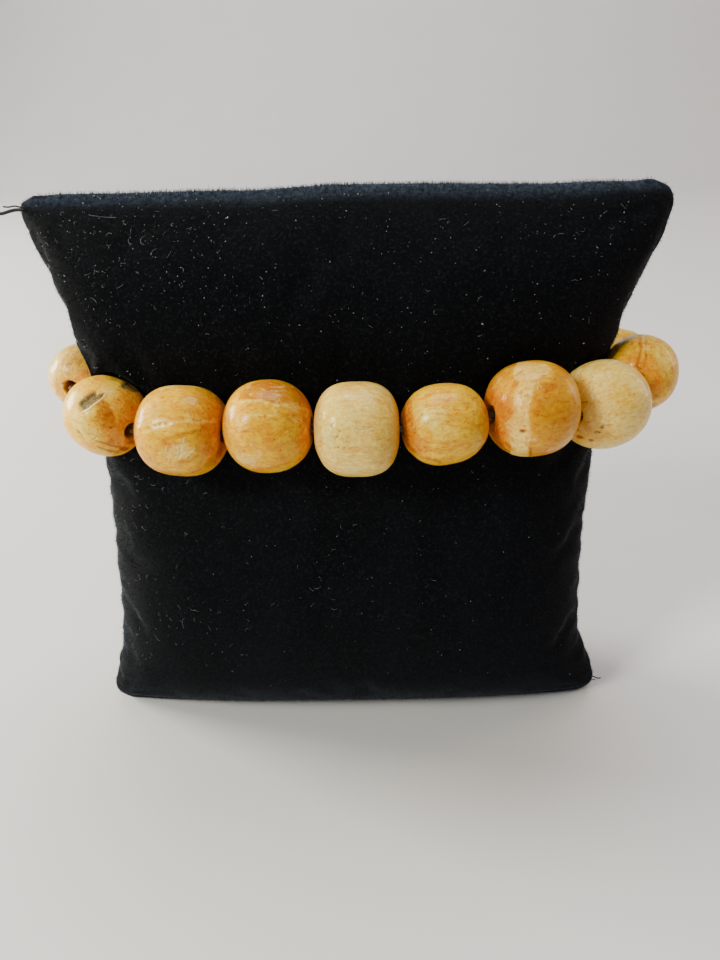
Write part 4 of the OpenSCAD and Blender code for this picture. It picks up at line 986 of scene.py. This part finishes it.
def make_lint(ob, w, faces):
    """Specks and short curled fibres caught in the pile."""
    tree = BVHTree.FromPolygons([tuple(v) for v in w], [tuple(f) for f in faces])

    def spot(px, py):
        d = sight_line(px, py)
        hit, nn, _i, _d = tree.ray_cast(Vector(EYE), Vector(d))
        return (None, None) if hit is None else (np.array(hit), np.array(nn))

    def settle(path, lift):
        out = []
        for q in path:
            near, nn, _i, _d = tree.find_nearest(Vector(q))
            out.append(np.array(near) + np.array(nn) * lift)
        return np.array(out)

    fibres, specks = [], []

    def fibre(px, py, length, bend, heading, radius=0.012, lift=0.34):
        at, nn = spot(px, py)
        if at is None:
            return
        nn = nn / np.linalg.norm(nn)
        e1 = np.cross(nn, [0, 0, 1.0])
        e1 /= max(np.linalg.norm(e1), 1e-9)
        e2 = np.cross(e1, nn)
        steps = max(6, int(length / 0.25))
        a = math.radians(heading)
        q, path = at.copy(), []
        for _k in range(steps + 1):
            path.append(q.copy())
            q = q + (e1 * math.cos(a) + e2 * math.sin(a)) * (length / steps)
            a += math.radians(bend) / steps + rng.normal(0, 0.10)
        fibres.append(tube(settle(path, lift), radius))

    def speck(px, py, size, lift=0.3):
        at, nn = spot(px, py)
        if at is None:
            return
        c = at + nn * lift
        d = rng.normal(0, 1, (6, 3)) * 0.25 + np.array([[1, 0, 0], [-1, 0, 0], [0, 1, 0], [0, -1, 0], [0, 0, 1], [0, 0, -1]])
        v = c + d * size * rng.uniform(0.6, 1.3, (6, 1))
        f = np.array([[0, 2, 4, 4], [2, 1, 4, 4], [1, 3, 4, 4], [3, 0, 4, 4], [2, 0, 5, 5], [1, 2, 5, 5], [3, 1, 5, 5], [0, 3, 5, 5]])
        specks.append((v, f[:, :3]))

    # The ones that catch the eye: px, py, length, bend, heading.
    for f in ((63, 217, 1.3, 300, 20), (118, 219, 4.0, 25, -8), (132, 238, 1.7, -140, 320), (145, 246, 1.9, 160, 10),
              (158, 250, 1.4, -120, 340), (107, 238, 1.3, 180, 90), (108, 246, 1.0, 150, 200), (99, 366, 0.9, 6, -32),
              (174, 228, 0.9, 160, 10), (181, 268, 1.0, 120, 200), (88, 233, 0.8, 200, 300), (76, 226, 0.7, 170, 40)):
        fibre(*f)
    for s in ((66, 276, 0.14), (330, 263, 0.12), (228, 219, 0.11), (265, 307, 0.10), (263, 296, 0.09), (209, 269, 0.08),
              (482, 324, 0.16), (484, 271, 0.11), (300, 325, 0.11), (337, 380, 0.11), (358, 196, 0.09), (388, 228, 0.08),
              (137, 196, 0.12), (279, 199, 0.09), (296, 222, 0.09), (435, 240, 0.08), (487, 358, 0.08), (582, 343, 0.13),
              (131, 374, 0.12), (128, 371, 0.09), (144, 378, 0.09), (86, 346, 0.10), (89, 345, 0.09), (134, 250, 0.08),
              (226, 243, 0.08), (355, 640, 0.09), (208, 632, 0.08), (470, 600, 0.08), (250, 540, 0.08), (420, 520, 0.07)):
        speck(*s)
    # The rest is denser towards the upper left.
    made = 0
    while made < 760:
        px, py = rng.uniform(30, 650), rng.uniform(190, 690)
        want = 0.10 + 0.9 * math.exp(-((px - 90) / 120) ** 2 - ((py - 230) / 90) ** 2) + 0.22 * math.exp(-((py - 230) / 120) ** 2)
        if rng.random() < want:
            speck(px, py, rng.uniform(0.028, 0.075) * (1.35 if rng.random() < 0.12 else 1.0))
            made += 1
    # Curled fibres lie in loose swarms, most of them down the left.
    for cx, cy, sx, sy, count in ((128, 505, 12, 18, 16), (140, 475, 16, 10, 7), (138, 590, 10, 14, 9), (178, 620, 22, 14, 18),
                                  (215, 640, 26, 12, 12), (150, 640, 14, 14, 8), (195, 560, 22, 20, 7), (300, 590, 26, 20, 7),
                                  (325, 540, 16, 18, 6), (100, 300, 22, 26, 12), (170, 250, 40, 24, 14), (420, 620, 60, 40, 8),
                                  (520, 300, 60, 50, 10), (600, 235, 40, 22, 6), (640, 205, 16, 12, 3), (540, 215, 50, 14, 8)):
        for _k in range(count):
            fibre(rng.normal(cx, sx), rng.normal(cy, sy), rng.uniform(0.35, 1.25), rng.normal(0, 170), rng.uniform(0, 360), rng.uniform(0.007, 0.0105))
    for _k in range(14):
        px, py = rng.normal(110, 45), rng.normal(238, 34)
        fibre(px, py, rng.uniform(0.3, 0.9), rng.uniform(-200, 200), rng.uniform(0, 360), 0.009)
    for _k in range(26):
        fibre(rng.uniform(120, 640), rng.uniform(200, 680), rng.uniform(0.3, 0.8), rng.uniform(-160, 160), rng.uniform(0, 360), 0.009)
    # A few on the panel behind.
    for _k in range(60):
        x, z = rng.uniform(-38, 36), rng.uniform(12, 84)
        hit, nn, _i, _d = tree.ray_cast(Vector((x, 80, z)), Vector((0, -1, 0)))
        if hit is not None:
            c = np.array(hit) + np.array(nn) * 0.3
            v = c + (rng.normal(0, 1, (6, 3)) * 0.25 + np.array([[1, 0, 0], [-1, 0, 0], [0, 1, 0], [0, -1, 0], [0, 0, 1], [0, 0, -1]])) * rng.uniform(0.03, 0.07)
            specks.append((v, np.array([[0, 2, 4], [2, 1, 4], [1, 3, 4], [3, 0, 4], [2, 0, 5], [1, 2, 5], [3, 1, 5], [0, 3, 5]])))
    n = Nodes("lint")
    co = n.add("ShaderNodeTexCoord").outputs["Object"]
    n.put(n.bsdf.inputs["Base Color"], n.mix(n.noise(co, 900.0), (0.13, 0.14, 0.16, 1), (0.52, 0.54, 0.57, 1)))
    n.put(n.bsdf.inputs["Roughness"], n.range(n.noise(co, 500.0), 0.3, 0.7, 0.75, 0.95))
    for name, parts in (("lint_fibres", fibres), ("lint_specks", specks)):
        v, f = joined(parts)
        piece = mesh_object(name, v, f)
        piece.data.materials.append(n.mat)
        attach(piece, "root")
    return tree


def make_threads(tree, w, u, t):
    """Loose ends of sewing thread at two corners, and the sewn line along the foot's front edge."""
    black = Nodes("thread")
    co = black.add("ShaderNodeTexCoord").outputs["Object"]
    black.put(black.bsdf.inputs["Base Color"], black.mix(black.noise(co, 1500.0), (0.006, 0.006, 0.007, 1), (0.03, 0.03, 0.033, 1)))
    black.put(black.bsdf.inputs["Roughness"], black.range(black.noise(co, 700.0), 0.3, 0.7, 0.5, 0.7))
    # Each end is given in the pillow's frame.
    ends = [
        ([(-43.6, 1.2, 88.2), (-44.6, 1.5, 88.4), (-45.6, 1.9, 88.2), (-46.6, 2.2, 87.9), (-47.4, 2.4, 88.0)], 0.24),
        ([(-43.8, 0.8, 88.4), (-44.8, 1.4, 88.9), (-45.6, 1.8, 88.7), (-46.2, 2.4, 88.9)], 0.11),
        ([(43.9, 0.6, 3.6), (44.9, 0.9, 4.0), (45.6, 1.3, 3.7), (46.2, 1.6, 4.2)], 0.12),
        ([(44.0, 0.4, 3.2), (44.8, 0.5, 2.9), (45.5, 1.0, 3.1)], 0.09),
    ]
    parts = []
    for pts, r in ends:
        pts = np.array(pts, float)
        s = np.linspace(0, len(pts) - 1, 4 * len(pts))
        path = np.stack([np.interp(s, np.arange(len(pts)), pts[:, c]) for c in range(3)], axis=1)
        path = np.stack([np.convolve(np.pad(path[:, c], 2, mode="edge"), np.ones(5) / 5, "valid") for c in range(3)], axis=1)
        parts.append(tube(placed(path), r))
    v, f = joined(parts)
    ob = mesh_object("thread_ends", v, f)
    ob.data.materials.append(black.mat)
    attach(ob, "root")
    # The welt of the front foot seam, a little above the table.
    xs = np.linspace(-42.2, 42.0, 260)
    path = []
    for x in xs:
        z = 1.5 + 0.05 * math.sin(x * 1.55) + 0.15 * math.sin(x / 9.0)
        hit, nn, _i, _d = tree.ray_cast(Vector((x - MID_X, -60, z)), Vector((0, 1, 0)))
        if hit is not None:
            path.append(np.array(hit) + np.array(nn) * 0.05)
    v, f = tube(path, 0.16, 4)
    ob = mesh_object("foot_seam", v, f)
    ob.data.materials.append(velvet_material("velvet_seam", (0.010, 0.010, 0.0115), 0.25))
    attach(ob, "root")


def finish_elastic():
    n = Nodes("stretch_cord")
    co = n.add("ShaderNodeTexCoord").outputs["Object"]
    n.put(n.bsdf.inputs["Base Color"], n.mix(n.noise(co, 900.0, 3.0), (0.07, 0.032, 0.010, 1), (0.13, 0.065, 0.02, 1)))
    n.put(n.bsdf.inputs["Roughness"], n.range(n.noise(co, 400.0), 0.3, 0.7, 0.45, 0.6))
    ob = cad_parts["elastic"]
    ob.data.materials.clear()
    ob.data.materials.append(n.mat)


# ---------------------------------------------------------------- floor and light

def make_stage():
    """A pale floor that sweeps up into a backdrop."""
    prof = [(-900, 0), (-300, 0), (0, 0), (300, 0), (520, 0)]
    prof += [(520 + 260 * math.sin(a), 260 - 260 * math.cos(a)) for a in np.linspace(0.12, math.pi / 2, 14)]
    prof += [(780, 900), (780, 1500)]
    verts = [(x, y, z - 0.02) for y, z in prof for x in (-1500, -500, 0, 500, 1500)]
    faces = [(5 * j + k, 5 * j + k + 1, 5 * (j + 1) + k + 1, 5 * (j + 1) + k) for j in range(len(prof) - 1) for k in range(4)]
    ob = mesh_object("floor", np.array(verts, float), np.array(faces))
    n = Nodes("pale_floor")
    co = n.add("ShaderNodeTexCoord").outputs["Object"]
    n.put(n.bsdf.inputs["Base Color"], n.mix(n.noise(co, 30.0, 4.0), (0.70, 0.695, 0.735, 1), (0.74, 0.735, 0.775, 1)))
    n.bsdf.inputs["Roughness"].default_value = 0.9
    n.bsdf.inputs["Specular IOR Level"].default_value = 0.2
    ob.data.materials.append(n.mat)


def area_light(name, at, aim, size, watts, colour=(1, 1, 1)):
    d = bpy.data.lights.new(name, "AREA")
    d.shape, d.size, d.size_y, d.energy, d.color = "RECTANGLE", size[0], size[1], watts, colour
    ob = bpy.data.objects.new(name, d)
    scene.collection.objects.link(ob)
    ob.location = at
    ob.rotation_euler = (Vector(aim) - Vector(at)).to_track_quat("-Z", "Y").to_euler()


def make_lights():
    aim = (0, 0, 0.05)
    area_light("window", (-0.60, 0.17, 0.19), aim, (0.24, 0.22), 8.9, (0.985, 0.965, 0.78))
    area_light("overhead", (0.02, 0.22, 0.75), aim, (0.45, 0.35), 3.6, (0.99, 0.985, 0.92))
    area_light("glint", (-0.42, -0.30, 0.42), aim, (0.13, 0.17), 3.7, (0.99, 0.97, 0.80))
    area_light("right_fill", (0.7, 0.25, 0.25), aim, (0.25, 0.4), 1.9, (1.0, 0.74, 0.52))
    world = bpy.data.worlds.new("soft")
    world.use_nodes = True
    world.node_tree.nodes["Background"].inputs[0].default_value = (0.92, 0.94, 1.0, 1)
    world.node_tree.nodes["Background"].inputs[1].default_value = 0.20
    scene.world = world


make_camera()
make_stage()
make_lights()
for bead in range(len(BEADS)):
    make_bead(bead)
pillow, skin, skin_faces, skin_u, skin_t, skin_ds, skin_bend_sheen = make_pillow()
make_pile(skin, skin_faces, skin_bend_sheen)
bvh = make_lint(pillow, skin, skin_faces)
make_threads(bvh, skin, skin_u, skin_t)
finish_elastic()

bpy.context.view_layer.update()
